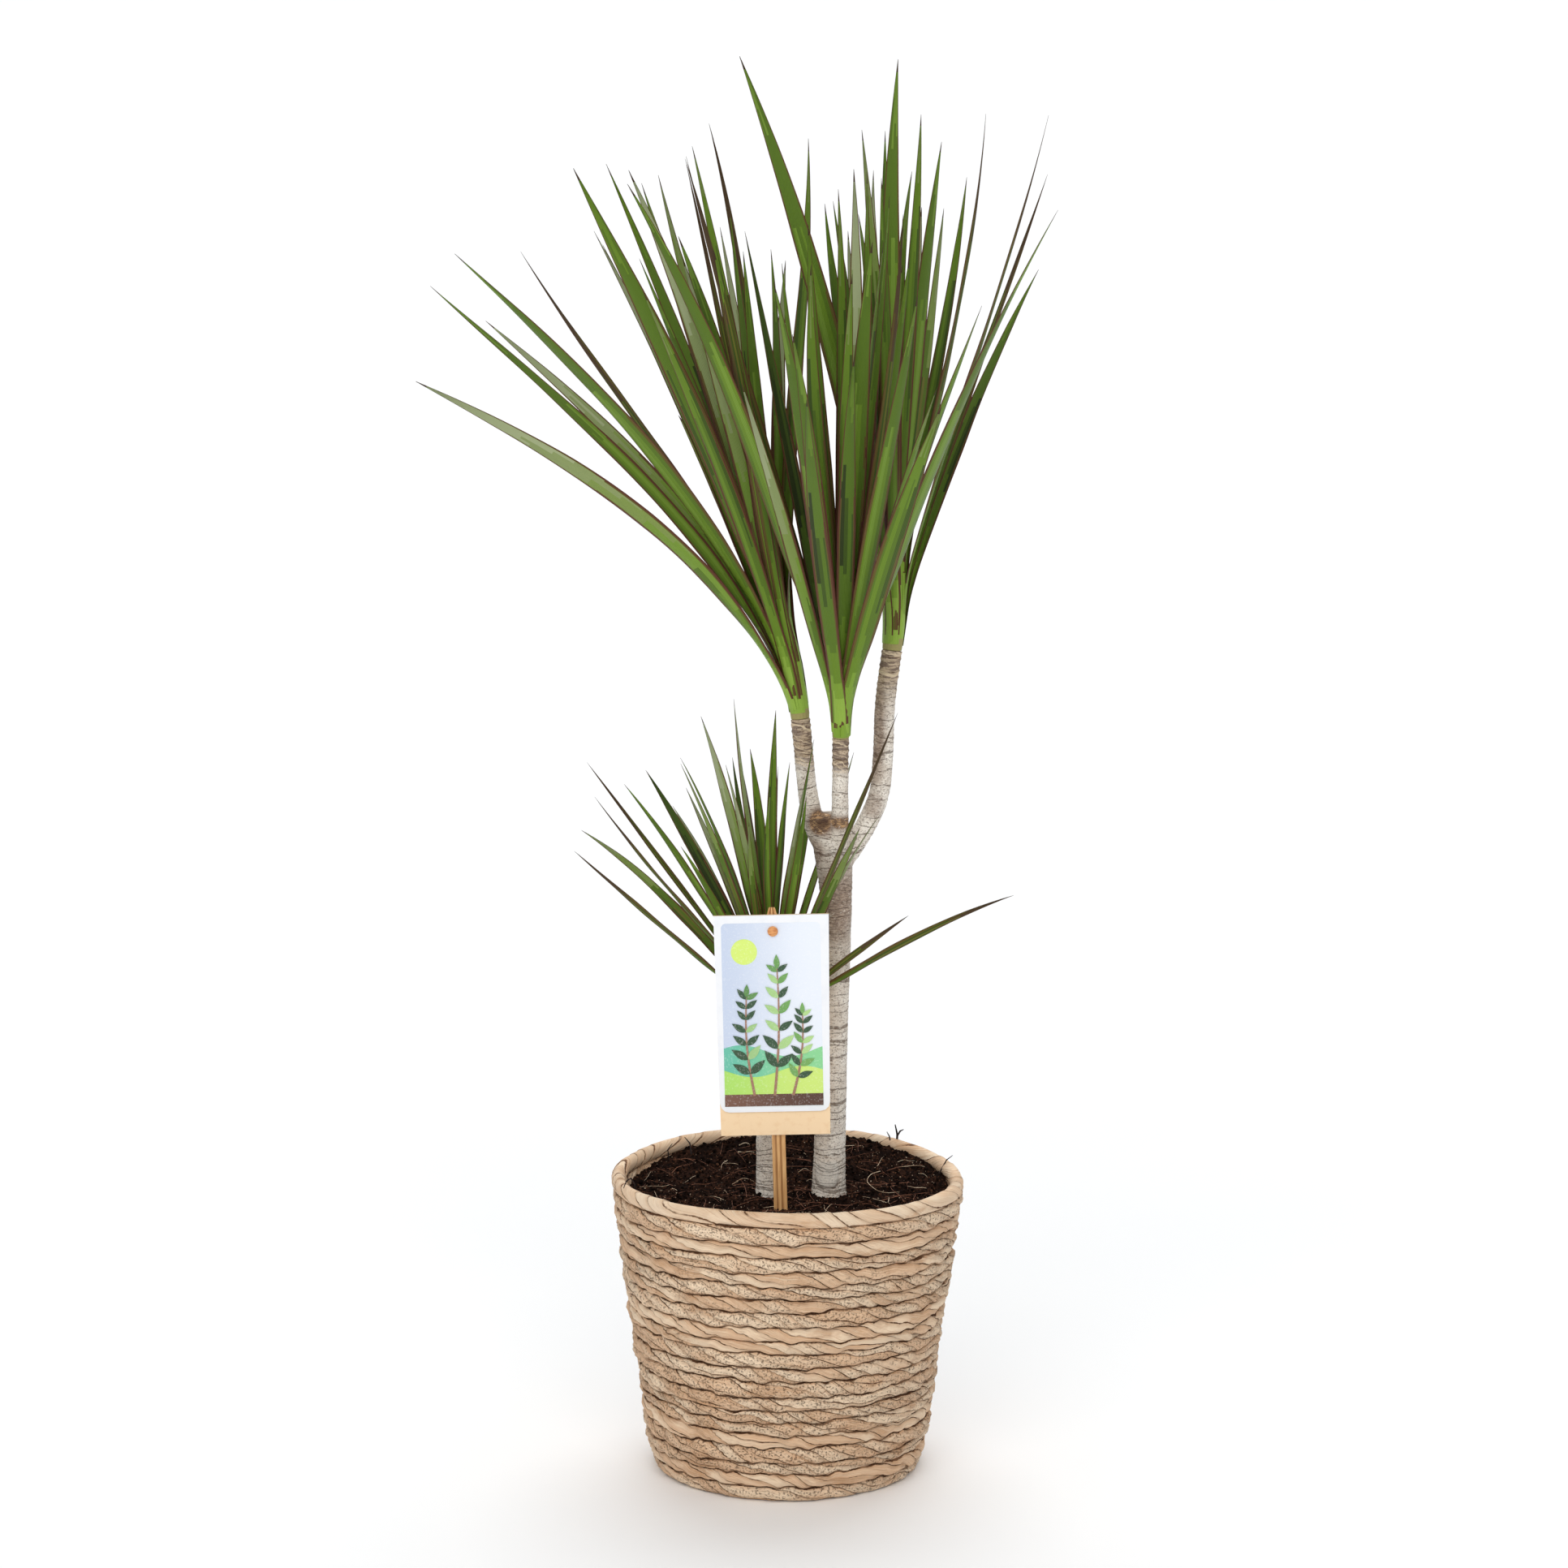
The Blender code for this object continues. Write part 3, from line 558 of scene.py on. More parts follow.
def lay_course(number):
    """One turn of rope between its two wavy lines."""
    chance = random.Random(900 + number)
    radius = float(wall_radius((number + 0.5) * COURSE_PITCH))
    count = round(math.tau * radius / chance.uniform(*STRIP_SPACING))
    ring, around, round_rope = rope_ring(radius, COURSE_STEPS, COURSE_SIDES)
    low = course_line(number, around)
    high = course_line(number + 1, around) + (UNDER_RIM if number == COURSE_COUNT - 1 else 0.0)
    up = squared_off(np.sin(round_rope))
    out = squared_off(np.cos(round_rope))
    height = np.maximum((low + high) / 2 + up * (high - low) / 2 * COURSE_OVERLAP, 0.0)
    phase = strand_phase(around, round_rope, count, 40 + number)
    relief = strip_relief(phase, count, 60 + number) * np.cos(round_rope / 2) ** 2
    bulge = ripple(around, 80 + number, (1, 2, 4, 6, 9, 23, 37), COURSE_BULGE)
    reach = wall_radius(height) + ROPE_PROUD + bulge - ROPE_HALF_THICK + out * ROPE_HALF_THICK + relief
    place_ring(ring, around, reach, height)
    map_strands(ring, around, round_rope, count, 40 + number, number)
    ring.data.materials.append(rope_finish)
    return ring


lower_wall, upper_wall = (join(*[lay_course(number) for number in range(first, first + COURSE_COUNT // 2)])
                          for first in (0, COURSE_COUNT // 2))
smooth(lower_wall, 75)
smooth(upper_wall, 75)

# %% [markdown]
# ## The basket's underside and rim
#
# The same rope lies in flat rings under the basket, which show only when it is lifted. The rim is a
# thicker ring, closely wrapped with smooth strips that lap over each other, so it gets more strips,
# a steeper slant and a smoother finish from the same helpers.

# %% Underside
FLOOR_RINGS = 9
FLOOR_ROPE_TALL = 0.006
UNDERSIDE_STEPS = 240
UNDERSIDE_SIDES = 8


def lay_floor_ring(number, radius, half_wide):
    ring, around, round_rope = rope_ring(radius, UNDERSIDE_STEPS, UNDERSIDE_SIDES)
    count = max(3, round(math.tau * radius / STRIP_SPACING[0]))
    height = FLOOR_ROPE_TALL / 2 * (1 + np.sin(round_rope))
    wave = ripple(around, 150 + number, (2, 3, 5), 0.0004)
    place_ring(ring, around, radius + np.cos(round_rope) * half_wide * COURSE_OVERLAP + wave, height)
    map_strands(ring, around, round_rope, count, 170 + number, COURSE_COUNT + number)
    ring.data.materials.append(rope_finish)
    return ring


floor_reach = BASE_RADIUS - FOOT_TUCK - 2 * ROPE_HALF_THICK + ROPE_PROUD
half_wide = floor_reach / FLOOR_RINGS / 2
floor_rings = [lay_floor_ring(k, (2 * k + 1) * half_wide, half_wide) for k in range(FLOOR_RINGS)]
underside = join(*floor_rings)
smooth(underside, 60)

# %% Rim
RIM_STEPS = 720
RIM_SIDES = 20
RIM_WRAP = 0.0213
RIM_LEAN = 0.50
RIM_LAP = 0.0006
RIM_UNEVEN = 0.0004
RIM_WAVE = 0.0008

rim_radius = RIM_RADIUS - RIM_THICK / 2
rim, around, round_rope = rope_ring(rim_radius, RIM_STEPS, RIM_SIDES)
wraps = round(math.tau * rim_radius / RIM_WRAP)
phase = strand_phase(around, round_rope, wraps, 31, RIM_LEAN)
inside = phase - np.floor(phase)
own = np.random.default_rng(32).uniform(-1, 1, wraps)[np.floor(phase).astype(int) % wraps]
relief = RIM_LAP * (inside * 1.6 - 0.8) * np.minimum(1, (1 - inside) * 9) + RIM_UNEVEN * own
thick = RIM_THICK / 2 + relief
tall = RIM_TALL / 2 + relief * 0.5
sway_out = ripple(around, 33, (2, 3, 5, 8), RIM_WAVE)
sway_up = ripple(around, 34, (2, 3, 5, 9), RIM_WAVE)
height = BASKET_HEIGHT - RIM_TALL / 2 + warp(around) + sway_up + tall * np.sin(round_rope)
place_ring(rim, around, rim_radius + sway_out + thick * np.cos(round_rope), height)
map_strands(rim, around, round_rope, wraps, 31, 60, RIM_LEAN, gap_below_only=True)
rim.data.materials.append(rim_finish)
smooth(rim, 75)

settle(lower_wall, "wall_lower_courses", "rope", "basket")
settle(upper_wall, "wall_upper_courses", "rope", "basket")
settle(underside, "basket_underside", "rope", "basket")
settle(rim, "wrapped_rim", "rope", "basket_rim")

# %% [markdown]
# ## Soil
#
# Potting soil is a heap of dark crumbs and fibres. Every crumb as an object would be too many, and
# a flat disc would look like paint. A fine grid is pressed round into a disc and pushed up into
# clods, and loose crumbs and thin roots are strewn on it. All crumbs are one mesh and all roots
# another, and a crumb has only twenty faces.

# %% Soil finish
def soil_material(name, dark_tone, warm_tone):
    made, tree, shader, place = start_material(name, 0.95, shine=0.05)
    lumps = clouds(tree, place, 420.0, 4.0, 0.7)
    drift = clouds(tree, place, 60.0, 2.0)
    grain = clouds(tree, place, 1800.0, 2.0, 0.6)
    tone = tinted(tree, dark_tone, warm_tone, lumps, 0.40, 0.60)
    link_colour(tree, shader, tinted(tree, tone, dark_tone, drift, 0.56, 0.40, 0.7))
    link_bump(tree, shader, sum_of(tree, "MULTIPLY_ADD", grain, 0.4, lumps), 0.0016)
    return made


soil_finish = soil_material("moist soil", srgb(14, 7, 5), srgb(58, 36, 26))

# %% Soil surface
SOIL_TOP = 0.185
SOIL_RADIUS = 0.1070
SOIL_CELLS = 210
SOIL_DEPTH = 0.020
SOIL_TAPER = 0.9
CLOD = 0.0032
SOIL_PROUD = 0.0012
BACK_HEAP = 0.0110
HEAP_TOWARDS = (0.15, 0.95)
BROAD_SCALE, FINE_SCALE, CLOD_SCALE = 45, 260, 170


def soil_level(x, y):
    """The soil's height: level in the middle and in front, and heaped against the back."""
    backwards = (HEAP_TOWARDS[0] * x + HEAP_TOWARDS[1] * y) / SOIL_RADIUS
    heap = BACK_HEAP * max(0.0, backwards + 0.05) ** 1.5
    broad = noise.fractal(Vector((x * BROAD_SCALE, y * BROAD_SCALE, 3.0)), 0.8, 2.0, 3)
    fine = noise.fractal(Vector((x * FINE_SCALE, y * FINE_SCALE, 9.0)), 0.6, 2.1, 4)
    clod = noise.voronoi(Vector((x * CLOD_SCALE, y * CLOD_SCALE, 5.0)))[0][0]
    return SOIL_TOP + SOIL_PROUD + heap + CLOD * (0.45 * broad + 0.40 * fine - 0.55 * clod)


soil = added(bpy.ops.mesh.primitive_grid_add, x_subdivisions=SOIL_CELLS, y_subdivisions=SOIL_CELLS, size=2)
bpy.ops.object.mode_set(mode="EDIT")
bpy.ops.mesh.select_mode(type="EDGE")
bpy.ops.mesh.select_all(action="SELECT")
bpy.ops.mesh.region_to_loop()
bpy.ops.mesh.extrude_region_move(TRANSFORM_OT_translate={"value": (0, 0, -1)})
bpy.ops.mesh.edge_face_add()
bpy.ops.object.mode_set(mode="OBJECT")

u, v, down = points_of(soil).T
x = u * np.sqrt(1 - v ** 2 / 2) * SOIL_RADIUS
y = v * np.sqrt(1 - u ** 2 / 2) * SOIL_RADIUS
top = np.array([soil_level(a, b) for a, b in zip(x, y)])
shrink = np.where(down < -0.5, SOIL_TAPER, 1.0)
height = np.where(down < -0.5, SOIL_TOP - SOIL_DEPTH, top)
move_points(soil, np.stack((x * shrink, y * shrink, height), axis=1))
face_outwards(soil)
soil.data.materials.append(soil_finish)
smooth(soil, 80)
settle(soil, "soil_surface", "soil", "soil")

# %% Strewing helper
def strew(name, points, faces, places):
    """Repeats one small shape at many places: each place is a 3 by 3 turn-and-size and a shift."""
    shapes = [points @ turn.T + shift for turn, shift in places]
    count = len(points)
    numbered = [[corner + k * count for corner in face] for k in range(len(places)) for face in faces]
    return mesh_object(name, np.concatenate(shapes).tolist(), numbered)


def tumbled(chance, size, flatness):
    """A random turn with an uneven size, for a crumb."""
    turn, _ = np.linalg.qr(chance.normal(size=(3, 3)))
    if np.linalg.det(turn) < 0:
        turn[:, 0] = -turn[:, 0]
    return turn @ np.diag(size * chance.uniform(flatness, 1.0, 3))


# %% Crumbs
CRUMBS = {
    "dark crumbs": {"count": 2600, "size": (0.0006, 0.0024), "tones": (srgb(12, 6, 4), srgb(42, 25, 18))},
    "brown crumbs": {"count": 1800, "size": (0.0005, 0.0019), "tones": (srgb(48, 29, 21), srgb(108, 74, 55))},
    "pale grit": {"count": 900, "size": (0.0004, 0.0009), "tones": (srgb(134, 112, 94), srgb(214, 194, 170))},
}

crumb = added(bpy.ops.mesh.primitive_ico_sphere_add, subdivisions=1, radius=1.0)
crumb_points = points_of(crumb) * np.random.default_rng(3).uniform(0.7, 1.1, (12, 1))
crumb_faces = [tuple(face.vertices) for face in crumb.data.polygons]
bpy.data.objects.remove(crumb)

crumb_heaps = []
for order, (name, kind) in enumerate(CRUMBS.items()):
    chance = np.random.default_rng(70 + order)
    places = []
    for _ in range(kind["count"]):
        out = SOIL_RADIUS * 0.985 * math.sqrt(chance.uniform(0, 1))
        angle = chance.uniform(0, math.tau)
        x, y = out * math.cos(angle), out * math.sin(angle)
        size = chance.uniform(*kind["size"]) * chance.uniform(0.5, 1.0)
        spot = np.array([x, y, soil_level(x, y) + size * chance.uniform(-0.2, 0.6)])
        places.append((tumbled(chance, size, 0.55), spot))
    heap = strew(name, crumb_points, crumb_faces, places)
    heap.data.materials.append(soil_material(name, *kind["tones"]))
    crumb_heaps.append(heap)
crumbs = join(*crumb_heaps)
settle(crumbs, "soil_crumbs", "soil", "soil")

# %% Roots and fibres
THREAD_SIDES = 5


def unit(vector):
    return vector / np.linalg.norm(vector)


def smooth_route(points, step):
    """A smooth curve through all the points, with a new one about every step."""
    known = [np.array(p, float) for p in points]
    ends = [2 * known[0] - known[1], *known, 2 * known[-1] - known[-2]]
    found = [known[0]]
    for before, start, end, after in zip(ends, ends[1:], ends[2:], ends[3:]):
        count = max(1, round(np.linalg.norm((end - start)[:3]) / step))
        for k in range(1, count + 1):
            t = k / count
            found.append(0.5 * (2 * start + (end - before) * t
                                + (2 * before - 5 * start + 4 * end - after) * t * t
                                + (3 * start - before - 3 * end + after) * t ** 3))
    return found


def thread(route, radii):
    """The points and faces of a thin round thread along a route, closed at both ends."""
    rings = []
    for k, place in enumerate(route):
        along = unit(route[min(k + 1, len(route) - 1)] - route[max(k - 1, 0)])
        side = unit(np.cross(along, (0.13, 0.31, 0.94)))
        other = np.cross(along, side)
        for step in range(THREAD_SIDES):
            turn = math.tau * step / THREAD_SIDES
            rings.append(place + radii[k] * (side * math.cos(turn) + other * math.sin(turn)))
    faces = [tuple(range(THREAD_SIDES))[::-1]]
    for k in range(len(route) - 1):
        for step in range(THREAD_SIDES):
            after = (step + 1) % THREAD_SIDES
            low, high = k * THREAD_SIDES, (k + 1) * THREAD_SIDES
            faces.append((low + step, low + after, high + after, high + step))
    faces.append(tuple(range((len(route) - 1) * THREAD_SIDES, len(route) * THREAD_SIDES)))
    return rings, faces


def threads_mesh(name, threads):
    """One mesh of many threads, each a route and a radius that thins to its end."""
    points, faces = [], []
    for route, radius in threads:
        radii = radius * (1 - 0.6 * np.linspace(0, 1, len(route)) ** 2)
        rings, strip = thread(route, radii)
        faces += [tuple(corner + len(points) for corner in face) for face in strip]
        points += [tuple(place) for place in rings]
    made = mesh_object(name, points, faces)
    face_outwards(made)
    return made


def lying_root(chance, length):
    """A nearly straight root that lies on the soil, with its ends dipping in."""
    out = SOIL_RADIUS * 0.93 * math.sqrt(chance.uniform(0, 1))
    angle = chance.uniform(0, math.tau)
    heading = chance.uniform(0, math.tau)
    bend = chance.normal(0, 0.25)
    counter = chance.normal(0, 0.14)
    place = np.array([out * math.cos(angle), out * math.sin(angle)])
    route, steps = [], 13
    for k in range(steps):
        share = k / (steps - 1)
        route.append(np.array([*place, soil_level(*place) + 0.0007]))
        turned = heading + bend * share + counter * math.sin(math.tau * share)
        place = place + length / steps * np.array([math.cos(turned), math.sin(turned)])
        place = place * min(1.0, SOIL_RADIUS * 0.95 / np.linalg.norm(place))
    route = np.array(route)
    for _ in range(6):
        route[1:-1, 2] = (route[:-2, 2] + 2 * route[1:-1, 2] + route[2:, 2]) / 4
    route[1:-1, 2] += chance.uniform(0.0002, 0.0016) * np.sin(np.linspace(0, math.pi, steps))[1:-1]
    return list(route)


def plain_material(name, colour, darker, scale):
    """A dull natural finish: one colour that drifts towards a darker one."""
    made, tree, shader, place = start_material(name, 0.7, shine=0.3)
    drift = clouds(tree, place, scale, 3.0)
    link_colour(tree, shader, tinted(tree, colour, darker, drift, 0.40, 0.64))
    link_bump(tree, shader, drift, 0.0004)
    return made


chance = np.random.default_rng(91)
red_roots = [(lying_root(chance, chance.uniform(0.012, 0.046)), chance.uniform(0.00010, 0.00019))
             for _ in range(120)]
pale_roots = [(lying_root(chance, chance.uniform(0.008, 0.026)), chance.uniform(0.00010, 0.00020))
              for _ in range(40)]
HOOK = ((0.0620, 0.0340), (0.0560, 0.0280), (0.0530, 0.0160), (0.0545, 0.0030), (0.0600, -0.0070),
        (0.0670, -0.0105), (0.0740, -0.0090))
hook = [np.array([x, y, soil_level(x, y) + 0.0022, 0.0]) for x, y in HOOK]
hook = [place[:3] for place in smooth_route(hook, 0.003)]
pale_roots.append((hook, 0.00020))
roots = threads_mesh("red roots", red_roots)
roots.data.materials.append(plain_material("reddish root", srgb(150, 100, 76), srgb(86, 50, 38), 300.0))
fibres = threads_mesh("pale fibres", pale_roots)
fibres.data.materials.append(plain_material("pale fibre", srgb(236, 216, 188), srgb(180, 148, 118), 300.0))
roots = join(roots, fibres)
smooth(roots, 60)
settle(roots, "soil_roots", "soil", "soil")

# %% Twigs at the edge
TWIGS = (
    (((0.0738, 0.0840, 0.1930), (0.0742, 0.0850, 0.2010), (0.0728, 0.0860, 0.2078)), 0.0009),
    (((0.0741, 0.0850, 0.2000), (0.0762, 0.0860, 0.2032), (0.0785, 0.0860, 0.2044)), 0.0007),
    (((0.0700, 0.0830, 0.1930), (0.0690, 0.0840, 0.2000), (0.0672, 0.0850, 0.2030)), 0.0006),
    (((-0.0985, -0.0360, 0.1900), (-0.0995, -0.0380, 0.2010), (-0.1020, -0.0400, 0.2058),
      (-0.1050, -0.0410, 0.2040), (-0.1068, -0.0415, 0.1995)), 0.0007),
    (((-0.0640, 0.0740, 0.1880), (-0.0655, 0.0780, 0.1970), (-0.0690, 0.0790, 0.2010)), 0.0006),
    (((-0.0790, 0.0620, 0.1880), (-0.0800, 0.0650, 0.1960), (-0.0770, 0.0680, 0.1995)), 0.0005),
    (((0.1010, 0.0280, 0.1900), (0.1060, 0.0290, 0.1990), (0.1100, 0.0300, 0.2018)), 0.0005),
)
twig_routes = [([np.array(place) for place in route], radius) for route, radius in TWIGS]
twigs = threads_mesh("twigs", twig_routes)
twigs.data.materials.append(plain_material("dark twig", srgb(44, 30, 26), srgb(26, 18, 16), 200.0))
smooth(twigs, 60)
settle(twigs, "soil_twigs", "soil", "soil")

# %% [markdown]
# ## Stems and boughs
#
# Two stems were cut and planted as canes. The tall one forks into three boughs, and each ends under
# a head of leaves. Their routes are the CAD model's: points to the right, back and up, each with a
# radius. A cylinder primitive is subdivided along its length and its rings are set on the smoothed
# route. The tall stem's four limbs are then melted into one skin by a voxel remesh, because a real
# fork has no seams, and the bark's relief is pushed into that skin.

# %% Stem routes
STEMS = {
    "trunk": (
        (0.0275, -0.0020, SOIL_TOP + GAP, 0.0122), (0.0275, -0.0020, 0.192, 0.0112),
        (0.0280, -0.0020, 0.215, 0.0104), (0.0290, -0.0018, 0.260, 0.0101),
        (0.0303, -0.0012, 0.310, 0.0099), (0.0316, -0.0006, 0.355, 0.0100),
        (0.0316, 0.0, 0.390, 0.0108), (0.0300, 0.0, 0.412, 0.0120),
        (0.0268, -0.0010, 0.427, 0.0112), (0.0246, -0.0030, 0.440, 0.0082)),
    "short_trunk": (
        (-0.0128, -0.0030, SOIL_TOP + GAP, 0.0086), (-0.0128, -0.0030, 0.192, 0.0078),
        (-0.0132, -0.0035, 0.215, 0.0073), (-0.0125, -0.0055, 0.250, 0.0069),
        (-0.0108, -0.0080, 0.280, 0.0066), (-0.0095, -0.0100, 0.300, 0.0066)),
    "bough_left": (
        (0.0262, -0.0005, 0.416, 0.0075), (0.0190, 0.0010, 0.430, 0.0072),
        (0.0153, 0.0030, 0.443, 0.0066), (0.0129, 0.0045, 0.457, 0.0063),
        (0.0107, 0.0065, 0.480, 0.0062), (0.0085, 0.0080, 0.502, 0.0063)),
    "bough_middle": (
        (0.0315, -0.0050, 0.412, 0.0068), (0.0338, -0.0080, 0.430, 0.0064),
        (0.0343, -0.0100, 0.443, 0.0056), (0.0343, -0.0125, 0.468, 0.0053),
        (0.0346, -0.0150, 0.494, 0.0055)),
    "bough_right": (
        (0.0350, 0.0030, 0.407, 0.0072), (0.0450, 0.0060, 0.421, 0.0070),
        (0.0545, 0.0090, 0.437, 0.0068), (0.0605, 0.0120, 0.454, 0.0067),
        (0.0625, 0.0140, 0.478, 0.0066), (0.0638, 0.0165, 0.511, 0.0066),
        (0.0681, 0.0200, 0.545, 0.0066)),
}


# %% Limb from a cylinder
def limb(route, sides):
    """A round limb along a route: a cylinder cut into as many rings as the route has points."""
    made = added(bpy.ops.mesh.primitive_cylinder_add, vertices=sides, radius=1, depth=1,
                 end_fill_type="TRIFAN")
    bpy.ops.object.mode_set(mode="EDIT")
    bpy.ops.mesh.select_mode(type="EDGE")
    bpy.ops.mesh.select_all(action="DESELECT")
    bpy.ops.object.mode_set(mode="OBJECT")
    for edge in made.data.edges:
        low, high = (made.data.vertices[corner].co for corner in edge.vertices)
        edge.select = abs(low.z - high.z) > 0.5
    bpy.ops.object.mode_set(mode="EDIT")
    bpy.ops.mesh.subdivide(number_cuts=len(route) - 2)
    bpy.ops.object.mode_set(mode="OBJECT")
    points = points_of(made)
    order = np.round((points[:, 2] + 0.5) * (len(route) - 1)).astype(int)
    frames = []
    for k, place in enumerate(route):
        along = unit(route[min(k + 1, len(route) - 1)][:3] - route[max(k - 1, 0)][:3])
        side = unit(np.cross((0.0, 1.0, 0.0), along))
        frames.append((place[:3], side, np.cross(along, side), place[3]))
    moved = [frames[k][0] + frames[k][3] * (frames[k][1] * x + frames[k][2] * y)
             for k, (x, y, _) in zip(order, points)]
    move_points(made, moved)
    return made


# %% One skin for the forked stem
STEM_STEP = 0.006
STEM_SIDES = 28
SKIN_VOXEL = 0.0008
FOOT_BELOW = 0.004


def planted(route):
    """The route with its foot a little deeper, so that it stands in the soil's clods."""
    foot = np.array(route[0], float)
    foot[2] -= FOOT_BELOW
    return [foot, *route[1:]]


limbs = [limb(smooth_route(planted(STEMS["trunk"]), STEM_STEP), STEM_SIDES)]
limbs += [limb(smooth_route(STEMS[name], STEM_STEP), STEM_SIDES)
          for name in ("bough_left", "bough_middle", "bough_right")]
forked_stem = join(*limbs)
cane = limb(smooth_route(planted(STEMS["short_trunk"]), STEM_STEP), STEM_SIDES)
for item, passes in ((forked_stem, 5), (cane, 3)):
    apply_modifier(item, "REMESH", mode="VOXEL", voxel_size=SKIN_VOXEL)
    apply_modifier(item, "SMOOTH", factor=0.5, iterations=passes)
print("skins", len(forked_stem.data.vertices), len(cane.data.vertices), "points")

# %% [markdown]
# ## Bark relief
#
# Dragon tree bark is thin and grey, with fine level wrinkles and the ring scars of fallen leaves,
# closest together just under each head, where the bark is still brown. At the tall stem's foot a
# cut branch has healed into a pale pad, and a brown knot sits in the fork. The relief is pushed into
# the skin along its own outward direction, and values that the colours need, such as how young the
# bark is, are kept on the mesh as attributes.

# %% Relief on the skins
RING_STEP = 0.0042
RING_DEPTH = 0.00032
RING_SLANT = (0.35, 0.20)
RING_WANDER = 0.0016
WRINKLE = 0.00042
YOUNG_BARK = {
    "trunk": (9.0, 9.1), "short_trunk": (0.270, 0.292), "bough_left": (0.463, 0.482),
    "bough_middle": (0.466, 0.477), "bough_right": (0.506, 0.532),
}
PAD_CENTRE = (0.0262, 0.2010)
PAD_HALF = (0.0074, 0.0090)
PAD_PROUD = 0.0010
CUT_DEPTH = 0.0004
CUT_SHADE = 0.7
KNOT_PROUD = 0.0009
KNOT_HOLLOW = 0.0012
KNOT_CENTRE = (0.0236, -0.0098, 0.4370)
KNOT_REACH = 0.0058
BROWN_AND_SHADE_PLACES = (
    {"centre": (0.0220, -0.0060, 0.4360), "reach": (0.0105, 0.0120, 0.0110), "strength": 1.30},
    {"centre": (0.0345, -0.0090, 0.4375), "reach": (0.0090, 0.0110, 0.0068), "strength": 1.30},
    {"centre": (0.0316, -0.0050, 0.3840), "reach": (0.0165, 0.0170, 0.0370), "strength": 0.84},
    {"centre": (0.0190, -0.0020, 0.4160), "reach": (0.0090, 0.0140, 0.0140), "strength": 0.80},
    # This place, down the right bough's left side, is painted shade, not browner bark.
    {"centre": (0.0568, 0.0100, 0.4990), "reach": (0.0085, 0.0150, 0.0500), "strength": 0.84},
    {"centre": (0.0560, 0.0050, 0.4460), "reach": (0.0080, 0.0100, 0.0100), "strength": 0.60},
)


def soft_step(value, start, end):
    share = np.clip((value - start) / (end - start), 0, 1)
    return share * share * (3 - 2 * share)


def nearest_on(names, points):
    """For each point the limb nearest to it, the place on that limb's middle, and its height."""
    best = np.full(len(points), 9.0)
    middle = np.zeros((len(points), 3))
    young = np.zeros(len(points))
    for name in names:
        dense = np.array(smooth_route(STEMS[name], 0.003))
        apart = np.linalg.norm(points[:, None] - dense[None, :, :3], axis=2)
        which = apart.argmin(axis=1)
        off = apart[np.arange(len(points)), which] - dense[which, 3]
        closer = off < best
        best[closer] = off[closer]
        middle[closer] = dense[which[closer], :3]
        young[closer] = soft_step(points[closer, 2], *YOUNG_BARK[name])
    return middle, young


def keep_attribute(item, name, values):
    layer = item.data.attributes.new(name, "FLOAT", "POINT")
    layer.data.foreach_set("value", np.asarray(values, dtype=np.float32))


def raise_bark(item, names, with_pad):
    """Pushes rings, wrinkles, the pad and the knot into a skin, and keeps their masks."""
    points = points_of(item)
    middle, young = nearest_on(names, points)
    outward = points - middle
    outward[:, 2] *= 0.3
    outward /= np.maximum(np.linalg.norm(outward, axis=1, keepdims=True), 1e-9)
    off_middle = points - middle
    slant = RING_SLANT[0] * off_middle[:, 0] + RING_SLANT[1] * off_middle[:, 1]
    level = points[:, 2] + slant
    wander = np.array([noise.noise(Vector((x * 90, y * 90, z * 60))) for x, y, z in points])
    ring = np.abs(((level + RING_WANDER * wander) / RING_STEP) % 1.0 - 0.5) * 2
    push = RING_DEPTH * (0.35 + 0.9 * young) * (soft_step(ring, 0.35, 1.0) - 0.3)
    fine, broad = np.array([(noise.fractal(Vector((x * 160, y * 160, z * 620)), 0.7, 2.0, 3),
                             noise.noise(Vector((x * 110, y * 110, z * 110 + 7)))) for x, y, z in points]).T
    push += WRINKLE * (0.45 * fine + 0.55 * broad)
    pad = np.zeros(len(points))
    knot = np.zeros(len(points))
    cut = np.zeros(len(points))
    brown = np.zeros(len(points))
    if with_pad:
        # The brown mask holds browner bark at the fork and painted shade on the right bough's left side.
        for spot in BROWN_AND_SHADE_PLACES:
            away = np.linalg.norm((points - spot["centre"]) / spot["reach"], axis=1)
            brown = np.maximum(brown, spot["strength"] * soft_step(away, 1.25, 0.45))
        out = (np.abs((points[:, 0] - PAD_CENTRE[0]) / PAD_HALF[0]) ** 3
               + np.abs((points[:, 2] - PAD_CENTRE[1]) / PAD_HALF[1]) ** 3) ** (1 / 3)
        out = out + 0.10 * broad
        in_front = points[:, 1] < middle[:, 1]
        pad = np.where(in_front, soft_step(out, 1.10, 0.80), 0.0)
        low_share = soft_step(points[:, 2], PAD_CENTRE[1] - 0.002, PAD_CENTRE[1] - 0.007)
        # The groove under the pad's lower edge is painted dark, as shade.
        cut = np.where(in_front, soft_step(np.abs(out - 1.13), 0.12, 0.03), 0.0) * low_share
        from_knot = np.linalg.norm(points - KNOT_CENTRE, axis=1)
        knot = soft_step(from_knot, KNOT_REACH, KNOT_REACH * 0.4)
        lip = np.sin(np.clip(from_knot / KNOT_REACH, 0, 1) * math.pi)
        push += PAD_PROUD * pad - CUT_DEPTH * cut + KNOT_PROUD * lip
        push -= KNOT_HOLLOW * soft_step(from_knot, KNOT_REACH * 0.35, 0)
    move_points(item, points + outward * push[:, None])
    kept = {"young": young, "pad": pad, "brown": brown, "stain_and_shade": np.maximum(knot, CUT_SHADE * cut)}
    for name, values in kept.items():
        keep_attribute(item, name, values)
    smooth(item, 180)


